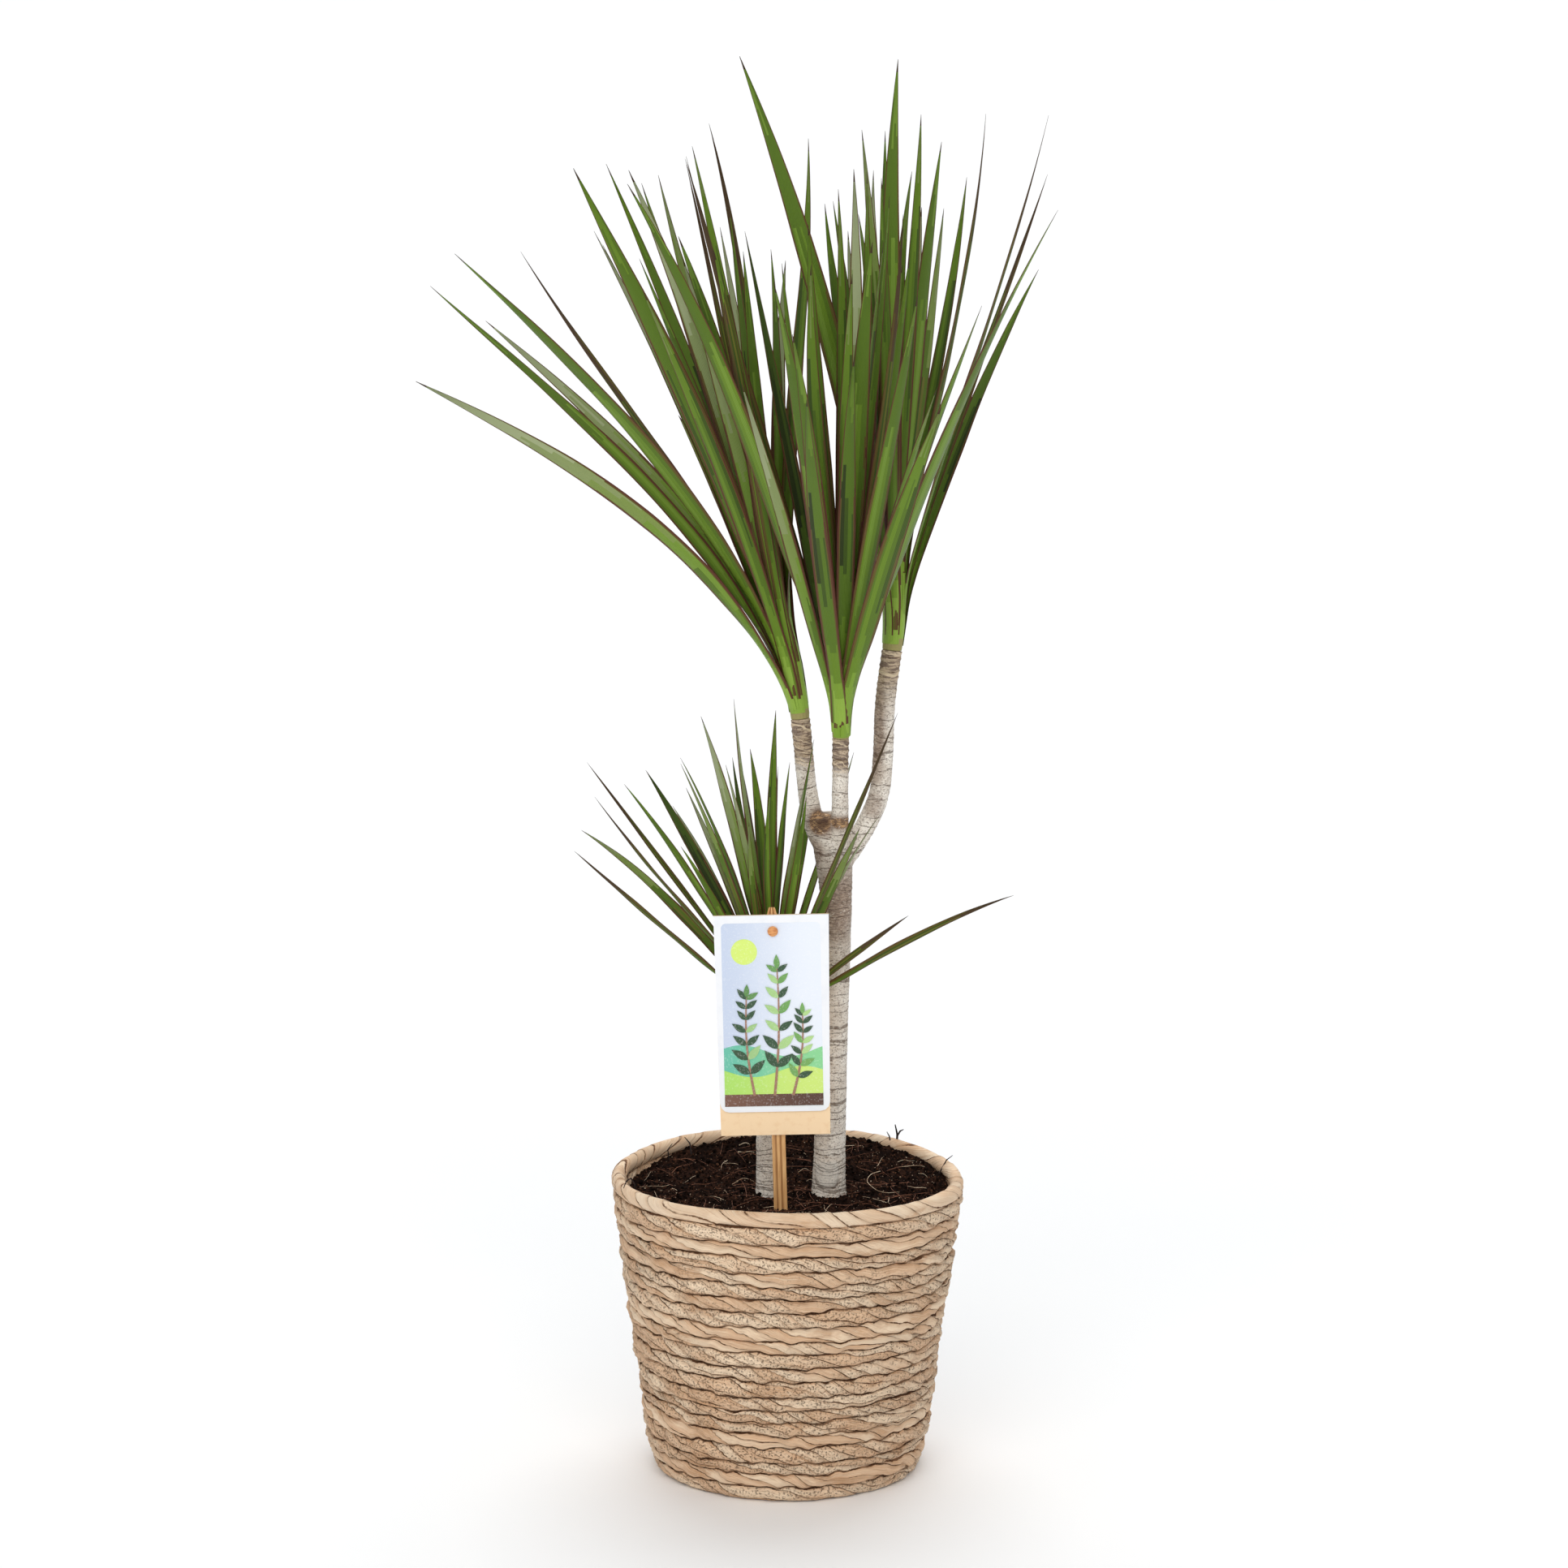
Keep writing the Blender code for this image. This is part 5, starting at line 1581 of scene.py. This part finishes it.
def bent_points(leaf, rng):
    """The blank's points on a leaf's line."""
    line = leaf["line"]
    places = blank_along * (len(line) - 1)
    steps = np.arange(len(line))
    heading = np.gradient(line, axis=0)
    middle = np.stack([np.interp(places, steps, line[:, axis]) for axis in range(3)], axis=1)
    along = np.stack([np.interp(places, steps, heading[:, axis]) for axis in range(3)], axis=1)
    along /= np.linalg.norm(along, axis=1, keepdims=True)
    blade = on_blade(leaf, blank_along)
    freed = soft_step(blade, 0.0, 0.30)[:, None]
    facing = leaf["clasp"] * (1 - freed) + leaf["facing"] * freed
    side = np.cross(along, facing)
    side /= np.linalg.norm(side, axis=1, keepdims=True)
    normal = np.cross(side, along)
    turn = (leaf["twist"] * blade)[:, None]
    side, normal = side * np.cos(turn) + normal * np.sin(turn), normal * np.cos(turn) - side * np.sin(turn)
    half = half_width(leaf, blank_along)
    clasp_fold = min(SHEATH_FOLD_MOST, float(half_width(leaf, 0.0)) / leaf["tucked"])
    fold = np.interp(blade, (0.0, 0.04, 0.22, 0.7, 1.0),
                     (clasp_fold, clasp_fold * 0.85, BLADE_FOLD, BLADE_FOLD, TIP_FOLD))
    bend = fold * blank_across
    wave = EDGE_WAVE * np.abs(blank_across) ** 2 * np.sin(
        math.tau * (blank_along * rng.uniform(2.0, 3.5) + rng.random()) + np.sign(blank_across))
    thick = EDGE_THICK + (LEAF_THICK - EDGE_THICK) * (1 - blank_across ** 4)
    thick = thick * np.interp(blank_along, (0.0, leaf["sheath"], leaf["sheath"] * 1.8, 0.9, 1.0),
                              (0.45, 0.60, 1.15, 0.80, 0.35))
    rib = RIB_PROUD * np.exp(-(blank_across / 0.12) ** 2) * (1 - blank_along)
    lift = -half * (1 - np.cos(bend)) / fold + wave * np.sin(math.pi * blank_along) + rib
    lift = lift + blank_side * thick / 2 * np.cos(bend)
    reach = half * np.sin(bend) / fold + blank_side * thick / 2 * np.sin(bend)
    return middle + side * reach[:, None] + normal * lift[:, None]


# %% Dealing out the tones
EDGE_SHARE = 0.175
EDGE_WIDE = 0.00125
SOFT_EDGE_SHARE = 0.29
SOFT_EDGE_WIDE = 0.0020
# Each family is a main tone, a painted lit stripe, a painted shaded side, and the tones that follow along the
# blade. The pale family is a painted pale sheen, a reflection of the white surroundings, mostly on leaves at
# the back.
FAMILIES = {
    "bright": ("bright green", "light green", "leaf green",
               ((0.62, "leaf green"), (0.86, "light green"))),
    "green": ("leaf green", "bright green", "dark green",
              ((0.70, "bright green"), (0.87, "sage green"))),
    "dark": ("dark green", "leaf green", "deep green",
             ((0.55, "leaf green"), (0.84, "bright green"))),
    "deep": ("deep green", "dark green", "deep green",
             ((0.65, "dark green"),)),
    "olive": ("olive green", "leaf green", "dark green",
              ((0.50, "leaf green"), (0.62, "sage green"), (0.82, "grey green"))),
    "pale": ("leaf green", "light green", "leaf green",
             ((0.26, "light green"), (0.40, "sage green"), (0.54, "grey green"), (0.70, "pale green"))),
    "slender": ("dark green", "olive green", "soft edge",
                ((0.70, "dry tip"),)),
}
# Leaves turned to the front are dealt lighter families, as painted light; those turned away get darker ones,
# as painted shade, and more of the painted pale sheen.
FRONT_LIT_CHANCES = {"bright": 0.42, "green": 0.33, "dark": 0.11, "olive": 0.06, "pale": 0.08}
BACK_SHADE_AND_SHEEN_CHANCES = {"bright": 0.08, "green": 0.24, "dark": 0.18, "deep": 0.09, "olive": 0.09, "pale": 0.32}
LOW_CHANCES = {"bright": 0.28, "green": 0.30, "dark": 0.08, "olive": 0.16, "pale": 0.18}
DIM_TONES = ("dark green", "deep green", "olive green")
DIM_FROM = 0.34
FOOT_TONES = ((0.20, 0.05, 0.04, "bright green"), (0.09, 0.04, 0.03, "soft lime"))
DRY_TIP_FROM = 0.985


def pick(chances, rng):
    return rng.choices(list(chances), weights=list(chances.values()))[0]


def dealt_tones(leaf, chances, rng):
    """A tone for each of the blank's faces: edges by their real width, the blade by its family,
    with painted light on one half and painted shade on the other.
    """
    # Front-facing leaves take families painted as lit; back-facing ones and all inner sides take families
    # painted as shaded or with painted sheen.
    in_front = leaf["facing"][1] < 0
    outer = FAMILIES[pick(chances if in_front else BACK_SHADE_AND_SHEEN_CHANCES, rng)]
    inner = FAMILIES[pick(BACK_SHADE_AND_SHEEN_CHANCES, rng)]
    if leaf["slender"]:
        outer = inner = FAMILIES["slender"]
    # The half of the fold that is painted as lit; the other half is painted in shade.
    lit = rng.choice((-1, 1))
    edge_wide = EDGE_WIDE * rng.choice((0.50, 0.60, 0.75, 0.90, 1.50))
    clasp_tone = TONE_ORDER[rng.choice(("lime base", "lime base", "soft lime"))]
    jitter = np.array([rng.uniform(-1, 1) for _ in range(len(LEAF_COLUMNS) + 1)])
    ragged = jitter[np.round(face_column).astype(int)]
    half = half_width(leaf, face_along)
    from_edge = 1 - np.abs(face_across)
    blade = on_blade(leaf, face_along)
    in_shade = face_across * lit > 0.30
    tones = np.full(len(face_across), TONE_ORDER[outer[0]])
    # On each face of the leaf: the main tone, painted shade on the shaded half, a painted lit stripe on the
    # lit half, and the tones along the blade.
    for (main, bright, shaded, steps), here in ((outer, face_side >= 0), (inner, face_side < 0)):
        tones[here] = TONE_ORDER[main]
        tones[here & in_shade] = TONE_ORDER[shaded]
        tones[here & (face_across * lit < -0.05) & (face_across * lit > -0.45)] = TONE_ORDER[bright]
        for start, tone in steps:
            tones[here & (blade > start + 0.07 * ragged + 0.07 * in_shade)] = TONE_ORDER[tone]
    dim = np.isin(tones, [TONE_ORDER[tone] for tone in DIM_TONES])
    tones[dim & (blade < DIM_FROM + 0.05 * ragged)] = TONE_ORDER["leaf green"]
    for reach, unevenness, less_in_shade, tone in FOOT_TONES:
        tones[blade < reach + unevenness * ragged - less_in_shade * in_shade] = TONE_ORDER[tone]
    tones[blade < 0.035 + 0.03 * ragged] = clasp_tone
    # Where the sheath is on the shaded side, a darker green is painted as shade.
    tones[(blade < 0.05) & (face_across * lit > 0.45)] = TONE_ORDER["bright green"]
    thinner = np.interp(blade, (0.0, 0.5, 0.75, 1.0), (1.0, 1.0, 0.6, 0.5))
    soft = from_edge < np.minimum(SOFT_EDGE_SHARE, SOFT_EDGE_WIDE * (1 + 0.15 * ragged) / half) * thinner
    tones[soft] = TONE_ORDER["soft edge"]
    edge = from_edge < np.minimum(EDGE_SHARE, edge_wide / half) * thinner
    tones[edge] = TONE_ORDER["maroon edge"]
    plain_share = 0.34 if leaf["outermost"] else 0.95
    tones[face_along < (plain_share + 0.08 * ragged) * leaf["sheath"]] = clasp_tone
    tones[blade > DRY_TIP_FROM] = TONE_ORDER["dry tip"]
    return tones


# %% Heads of leaves
SHOOT_SIDES = 20
SHOOT_STEP = 0.003
FULLNESS = {"head_left": (1.08, 0.74), "head_middle": (1.12, 0.79), "head_right": (1.06, 0.78),
            "head_low": (0.82, 0.56)}
BARE_SHOOT = (0.90, 0.86, 0.80, 0.80, 0.80, 0.80)
DRY_FOOT = 0.007


def leaf_copy(head, leaf, fullness, piled, chances, rng):
    """One finished leaf, as a copy of the blank with its own mesh."""
    leaf = with_sheath(head, swayed(head, leaf, rng), piled, rng)
    leaf["width"] *= fullness
    made = bpy.data.objects.new("leaf", leaf_blank.data.copy())
    bpy.context.scene.collection.objects.link(made)
    move_points(made, bent_points(leaf, rng))
    made.data.polygons.foreach_set("material_index", dealt_tones(leaf, chances, rng).astype(np.int32))
    return made


def make_head(name):
    """A shoot with all its leaves, in one mesh. The leading leaves are fuller than those between."""
    head = HEADS[name]
    chances = LOW_CHANCES if name == "head_low" else FRONT_LIT_CHANCES
    leaves = []
    piled = piled_shares(head, grown_heads[name])
    for order, leaf in enumerate(grown_heads[name]):
        fullness = FULLNESS[name][0 if order < len(head["leading"]) else 1]
        rng = random.Random(head["seed"] * 77 + order)
        leaves.append(leaf_copy(head, leaf, fullness, piled[order], chances, rng))
    bare = [np.array([*place[:3], place[3] * share]) for place, share in zip(shoot_route(head), BARE_SHOOT)]
    shoot = limb(smooth_route(bare, SHOOT_STEP), SHOOT_SIDES)
    shoot.data.uv_layers.active.name = LEAF_MAP
    for finish in leaf_tones.values():
        shoot.data.materials.append(finish)
    lowest = bare[0][2] + DRY_FOOT
    shoot_tones = [TONE_ORDER["dry base" if face.center[2] < lowest else "lime base"]
                   for face in shoot.data.polygons]
    shoot.data.polygons.foreach_set("material_index", np.array(shoot_tones, dtype=np.int32))
    head = join(leaves[0], shoot, *leaves[1:])
    smooth(head, 50)
    settle(head, name.replace("head", "leaves"), "leaf", name)


for name in HEADS:
    make_head(name)
bpy.data.objects.remove(leaf_blank)

# %% [markdown]
# ## Label stick
#
# A plain label stands in front: a bamboo stick with two long grooves, a card of kraft board on it,
# and a picture leaflet pinned to the card. The stick is a cube primitive, subdivided and shaped:
# its corners are eased, its front is grooved, and its top runs to a blunt point.

# %% Bamboo finish
def bamboo_material():
    made, tree, shader, place = start_material("plain bamboo", 0.5, shine=0.4)
    grain = clouds(tree, stretched(tree, place, 60.0, 60.0, 2.2), 14.0, 4.0, 0.6)
    drift = clouds(tree, place, 40.0, 2.0)
    tone = tinted(tree, srgb(232, 186, 128), srgb(198, 144, 88), grain, 0.36, 0.66)
    tone = tinted(tree, tone, srgb(186, 128, 76), drift, 0.45, 0.7, 0.35)
    # The grooves are painted darker, as shade in them.
    tone = mixed(tree, times(tree, attribute(tree, "groove_shade"), 0.7), tone, srgb(128, 80, 44))
    link_colour(tree, shader, tone)
    link_bump(tree, shader, grain, 0.0002)
    return made


# %% Stick
STICK_COLUMNS = 25
STICK_ROWS = 60
GROOVES = (-0.42, 0.30)
GROOVE_WIDE = 0.13
GROOVE_DEEP = 0.0009
STICK_BELOW = 0.006

stick = added(bpy.ops.mesh.primitive_cube_add, size=2)
for axis, cuts in ((0, STICK_COLUMNS), (2, STICK_ROWS)):
    for edge in stick.data.edges:
        first, second = (stick.data.vertices[corner].co for corner in edge.vertices)
        edge.select = abs(first[axis] - second[axis]) > 1.0
    for face in stick.data.polygons:
        face.select = False
    for point in stick.data.vertices:
        point.select = False
    bpy.ops.object.mode_set(mode="EDIT")
    bpy.ops.mesh.select_mode(type="EDGE")
    bpy.ops.mesh.subdivide(number_cuts=cuts)
    bpy.ops.mesh.select_all(action="DESELECT")
    bpy.ops.object.mode_set(mode="OBJECT")

across, deep, up = points_of(stick).T
stick_foot_z = SOIL_TOP - STICK_BELOW
rise = (up + 1) / 2
height = stick_foot_z + (STICK_TOP - stick_foot_z) * rise
narrow = np.interp(height, (STICK_TOP - STICK_POINT_TALL, STICK_TOP), (1.0, STICK_POINT_SHARE))
in_groove = np.maximum(*[np.exp(-((across - place) / GROOVE_WIDE) ** 2) for place in GROOVES])
in_groove = in_groove * (deep < 0)
eased = 1 - 0.22 * np.abs(across) ** 6
leaning = STICK_LEAN * (height - SOIL_TOP) / (STICK_TOP - SOIL_TOP)
x = STICK_FOOT[0] + leaning + across * STICK_WIDE / 2 * narrow
y = STICK_FOOT[1] + deep * STICK_THICK / 2 * eased * narrow + in_groove * GROOVE_DEEP
move_points(stick, np.stack((x, y, height), axis=1))
keep_attribute(stick, "groove_shade", in_groove)
stick.data.materials.append(bamboo_material())
smooth(stick, 50)
settle(stick, "grooved_stick", "bamboo", "label_stick")

# %% [markdown]
# ## Card, leaflet and pin
#
# The card and the leaflet are flat plates, and the CAD model's own are right, so they stay and get
# better finishes. The leaflet's picture is a generic botanical print: a few leafy stems before soft
# hills and a pale sky. It is laid on as thin shapes, as if cut from paper, each with its own plain
# finish. Every shape that overlaps others lies at its own small height, so no two faces coincide.

# %% Card and leaflet finishes
def paper_material(name, colour, fleck, scale, roughness, fleck_share):
    """Card or paper: one colour with faint flecks."""
    made, tree, shader, place = start_material(name, roughness, shine=0.35)
    flecks = clouds(tree, place, scale, 3.0, 0.6)
    link_colour(tree, shader, tinted(tree, colour, fleck, flecks, 0.5, 0.7, fleck_share))
    link_bump(tree, shader, flecks, 0.00006)
    return made


def refinish(node, finish):
    """Gives a carried-over CAD node a better material."""
    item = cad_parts[node]
    item.data.materials.clear()
    item.data.materials.append(finish)


kraft = paper_material("kraft board", srgb(248, 218, 178), srgb(240, 204, 160), 200.0, 0.75, 0.6)
coated = paper_material("coated leaflet", srgb(240, 242, 246), srgb(228, 232, 240), 60.0, 0.35, 0.5)
refinish("label_card", kraft)
refinish("label_leaflet", coated)

# %% Shapes cut from paper
CARD_FRONT = STICK_FOOT[1] - STICK_THICK / 2 - GAP - CARD_THICK
LEAFLET_FRONT = CARD_FRONT - GAP - LEAFLET_THICK
INLAY_THICK = 0.00012


def on_label(across, down, deep):
    """A place on the label, from millimetres right of its middle and below its top."""
    x, z = across * MM, -down * MM
    turned_x = x * math.cos(CARD_TURN) + z * math.sin(CARD_TURN)
    turned_z = -x * math.sin(CARD_TURN) + z * math.cos(CARD_TURN)
    return (CARD_X + turned_x, deep, CARD_TOP + turned_z)


def paper_cut(name, outline, layer, finish):
    """A flat shape cut along an outline, laid on the leaflet in its own layer."""
    made = added(bpy.ops.mesh.primitive_circle_add, vertices=len(outline), radius=1, fill_type="NGON")
    made.name = name
    deep = LEAFLET_FRONT - INLAY_THICK * (layer - 1) * 1.01
    move_points(made, [on_label(across, down, deep) for across, down in outline])
    bpy.ops.object.mode_set(mode="EDIT")
    bpy.ops.mesh.select_all(action="SELECT")
    bpy.ops.mesh.quads_convert_to_tris()
    bpy.ops.mesh.extrude_region_move(TRANSFORM_OT_translate={"value": (0, -INLAY_THICK, 0)})
    bpy.ops.mesh.select_all(action="SELECT")
    bpy.ops.mesh.normals_make_consistent(inside=False)
    bpy.ops.object.mode_set(mode="OBJECT")
    made.data.materials.append(finish)
    return made


CORNER_STEPS = 8


def rounded(left, right, top, foot, corners):
    """A rectangle's outline with a radius for each corner: top right, top left, foot left, foot right."""
    outline = []
    places = ((right, top, 0), (left, top, 90), (left, foot, 180), (right, foot, 270))
    for (x, z, start), radius in zip(places, corners):
        middle_x = x - math.copysign(radius, x - (left + right) / 2)
        middle_z = z - math.copysign(radius, z - (top + foot) / 2)
        for k in range(CORNER_STEPS + 1 if radius else 1):
            turn = math.radians(start + 90 * k / CORNER_STEPS)
            outline.append((middle_x + radius * math.cos(turn), middle_z - radius * math.sin(turn)))
    return outline


# %% Print inks
INK_REACH = (-36, 28)
INKS = {
    "sky": (srgb(198, 210, 232), srgb(232, 238, 248)),
    "sun": (srgb(214, 238, 120),),
    "teal": (srgb(104, 190, 168), srgb(140, 212, 150)),
    "lime": (srgb(172, 222, 104), srgb(206, 234, 122)),
    "earth": (srgb(124, 88, 72), srgb(90, 62, 52)),
    "wood": (srgb(160, 120, 98),),
    "dark leaf": (srgb(54, 84, 58),),
    "leaf": (srgb(86, 130, 76), srgb(118, 170, 92)),
    "light leaf": (srgb(150, 190, 130), srgb(176, 214, 140)),
}


def print_ink(name, left, right=None):
    """A printed colour, or one that runs from left to right across the leaflet."""
    made, tree, shader, place = start_material(name, 0.35, shine=0.35)
    across = add_node(tree, "SeparateXYZ", {0: place}).outputs[0]
    start, end = (CARD_X + side * MM for side in INK_REACH)
    dots = clouds(tree, place, 900.0, 1.0)
    tone = tinted(tree, left, right or left, across, start, end)
    link_colour(tree, shader, tinted(tree, tone, srgb(250, 250, 250), dots, 0.55, 0.7, 0.15))
    return made


ink = {name: print_ink(name + " ink", *colours) for name, colours in INKS.items()}
print(len(ink), "inks")

# %% Outlines of waves, stems and leaves
PRINT_LEFT, PRINT_RIGHT, PRINT_TOP, PRINT_FOOT = -32.5, 31.5, 5.0, 127.0


def wavy_band(top, swell, start):
    """A band with a wavy upper edge, down to the picture's foot."""
    places = np.linspace(PRINT_LEFT, PRINT_RIGHT, 33)
    upper = [(x, top + swell * math.sin(x / 10 + start)) for x in places]
    return upper + [(PRINT_RIGHT, PRINT_FOOT), (PRINT_LEFT, PRINT_FOOT)]


def along_stem(start, end, bow, share):
    """A place on a bowed stem, and the stem's direction there."""
    start, end = np.array(start, float), np.array(end, float)
    across = np.array([end[1] - start[1], start[0] - end[0]]) / np.linalg.norm(end - start)
    middle = start + (end - start) * share + across * bow * math.sin(math.pi * share)
    return middle, (end - start) + across * bow * math.pi * math.cos(math.pi * share)


def stem_outline(start, end, bow, wide):
    """A bowed stem that gets thinner towards its end."""
    left, right = [], []
    for share in np.linspace(0, 1, 9):
        middle, heading = along_stem(start, end, bow, share)
        across = np.array([heading[1], -heading[0]]) / np.linalg.norm(heading)
        left.append(tuple(middle + across * wide / 2 * (1 - 0.6 * share)))
        right.append(tuple(middle - across * wide / 2 * (1 - 0.6 * share)))
    return left + right[::-1]


def leaf_outline(foot, heading, turn, length, wide):
    """A pointed oval that leaves a stem at a turn from its direction."""
    bearing = math.atan2(heading[1], heading[0]) + turn
    along = np.array([math.cos(bearing), math.sin(bearing)])
    across = np.array([-along[1], along[0]])
    shares = np.linspace(0, 1, 9)
    halves = wide / 2 * np.sin(math.pi * shares ** 0.8)
    left = [tuple(foot + along * length * share + across * half) for share, half in zip(shares, halves)]
    right = [tuple(foot + along * length * share - across * half) for share, half in zip(shares, halves)]
    return left + right[-2:0:-1]


# %% Picture on the leaflet
PRINTED_STEMS = (
    {"start": (-13, 120), "end": (-17, 52), "bow": 2.5, "leaf": 12.5},
    {"start": (0, 120), "end": (3, 33), "bow": -2.0, "leaf": 14.0},
    {"start": (12, 120), "end": (19, 64), "bow": -2.5, "leaf": 11.0},
)
STEM_WIDE = 1.8
LEAF_PLACES = (0.22, 0.36, 0.50, 0.63, 0.75, 0.86, 0.95)
SUN_X, SUN_DOWN, SUN_RADIUS, SUN_CORNERS = -18, 24, 8.5, 40
EARTH_TOP = 119
LAYER_STEP = 0.03

turns = [math.tau * k / SUN_CORNERS for k in range(SUN_CORNERS)]
sun = [(SUN_X + SUN_RADIUS * math.cos(turn), SUN_DOWN + SUN_RADIUS * math.sin(turn)) for turn in turns]
sky = rounded(PRINT_LEFT, PRINT_RIGHT, PRINT_TOP, PRINT_FOOT, (3, 3, 0, 0))
earth = rounded(PRINT_LEFT, PRINT_RIGHT, EARTH_TOP, PRINT_FOOT, (0, 0, 0, 0))
picture = [paper_cut("picture_sky", sky, 1, ink["sky"]),
           paper_cut("picture_sun", sun, 2, ink["sun"]),
           paper_cut("picture_far_hill", wavy_band(90, 4.0, 0.6), 2, ink["teal"]),
           paper_cut("picture_near_hill", wavy_band(104, 3.5, 2.9), 3, ink["lime"]),
           paper_cut("picture_earth", earth, 4, ink["earth"])]
chance = random.Random(5)
layer = 5.0
for stem in PRINTED_STEMS:
    bend = (stem["start"], stem["end"], stem["bow"])
    picture.append(paper_cut("picture_stem", stem_outline(*bend, STEM_WIDE), layer, ink["wood"]))
    for share in LEAF_PLACES:
        foot, heading = along_stem(*bend, share)
        for side in (-1, 1):
            turn = side * math.radians(chance.uniform(40, 58))
            length = stem["leaf"] * (1.1 - 0.45 * share) * chance.uniform(0.9, 1.1)
            tone = ink[chance.choice(("dark leaf", "dark leaf", "leaf", "light leaf"))]
            layer += LAYER_STEP
            outline = leaf_outline(foot, heading, turn, length, length * 0.40)
            picture.append(paper_cut("picture_leaf", outline, layer, tone))
    layer += LAYER_STEP
    foot, heading = along_stem(*bend, 0.97)
    tip_leaf = leaf_outline(foot, heading, 0.0, stem["leaf"] * 0.7, stem["leaf"] * 0.28)
    picture.append(paper_cut("picture_leaf", tip_leaf, layer, ink["leaf"]))
    layer += LAYER_STEP
picture = join(*picture)
settle(picture, "leaflet_picture", "leaflet")

# %% Pin
PIN_SEGMENTS = 40
PIN_CUT = 0.55
PIN_ACROSS = 0.9

pin = added(bpy.ops.mesh.primitive_uv_sphere_add, segments=PIN_SEGMENTS, ring_count=PIN_SEGMENTS // 2,
            radius=PIN_RADIUS)
bpy.ops.object.mode_set(mode="EDIT")
bpy.ops.mesh.select_all(action="SELECT")
bpy.ops.mesh.bisect(plane_co=(0, PIN_RADIUS * PIN_CUT, 0), plane_no=(0, 1, 0), clear_outer=True,
                    use_fill=True)
bpy.ops.object.mode_set(mode="OBJECT")
pin_place = np.array(on_label(PIN_ACROSS, PIN_BELOW_TOP / MM, LEAFLET_FRONT))
pin_points = points_of(pin)
pin_depth = PIN_PROUD / (PIN_RADIUS * (1 + PIN_CUT))
pin_points[:, 1] = (pin_points[:, 1] - PIN_RADIUS * PIN_CUT) * pin_depth
move_points(pin, pin_points + pin_place)
pin_finish, tree, shader, place = start_material("turned wooden pin", 0.45, shine=0.45)
pin_grain = clouds(tree, stretched(tree, place, 1.0, 1.0, 6.0), 220.0, 3.0)
link_colour(tree, shader, tinted(tree, srgb(226, 160, 98), srgb(196, 124, 68), pin_grain, 0.4, 0.65))
link_bump(tree, shader, pin_grain, 0.0001)
pin.data.materials.append(pin_finish)
smooth(pin, 50)
settle(pin, "round_pin", "pin", "label_pin")

# %% [markdown]
# ## Sizes and the end
#
# The dressed plant must stay inside the CAD model's box, but for a little that soft parts may stand
# proud. Both boxes are written out, so that they can be compared.

# %% Write both boxes and finish
visual_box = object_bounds()
for name, box in (("CAD", cad_box), ("visual", visual_box)):
    for title, low, high in zip("xyz", *box):
        print(name, title, round(low, 4), round(high, 4))
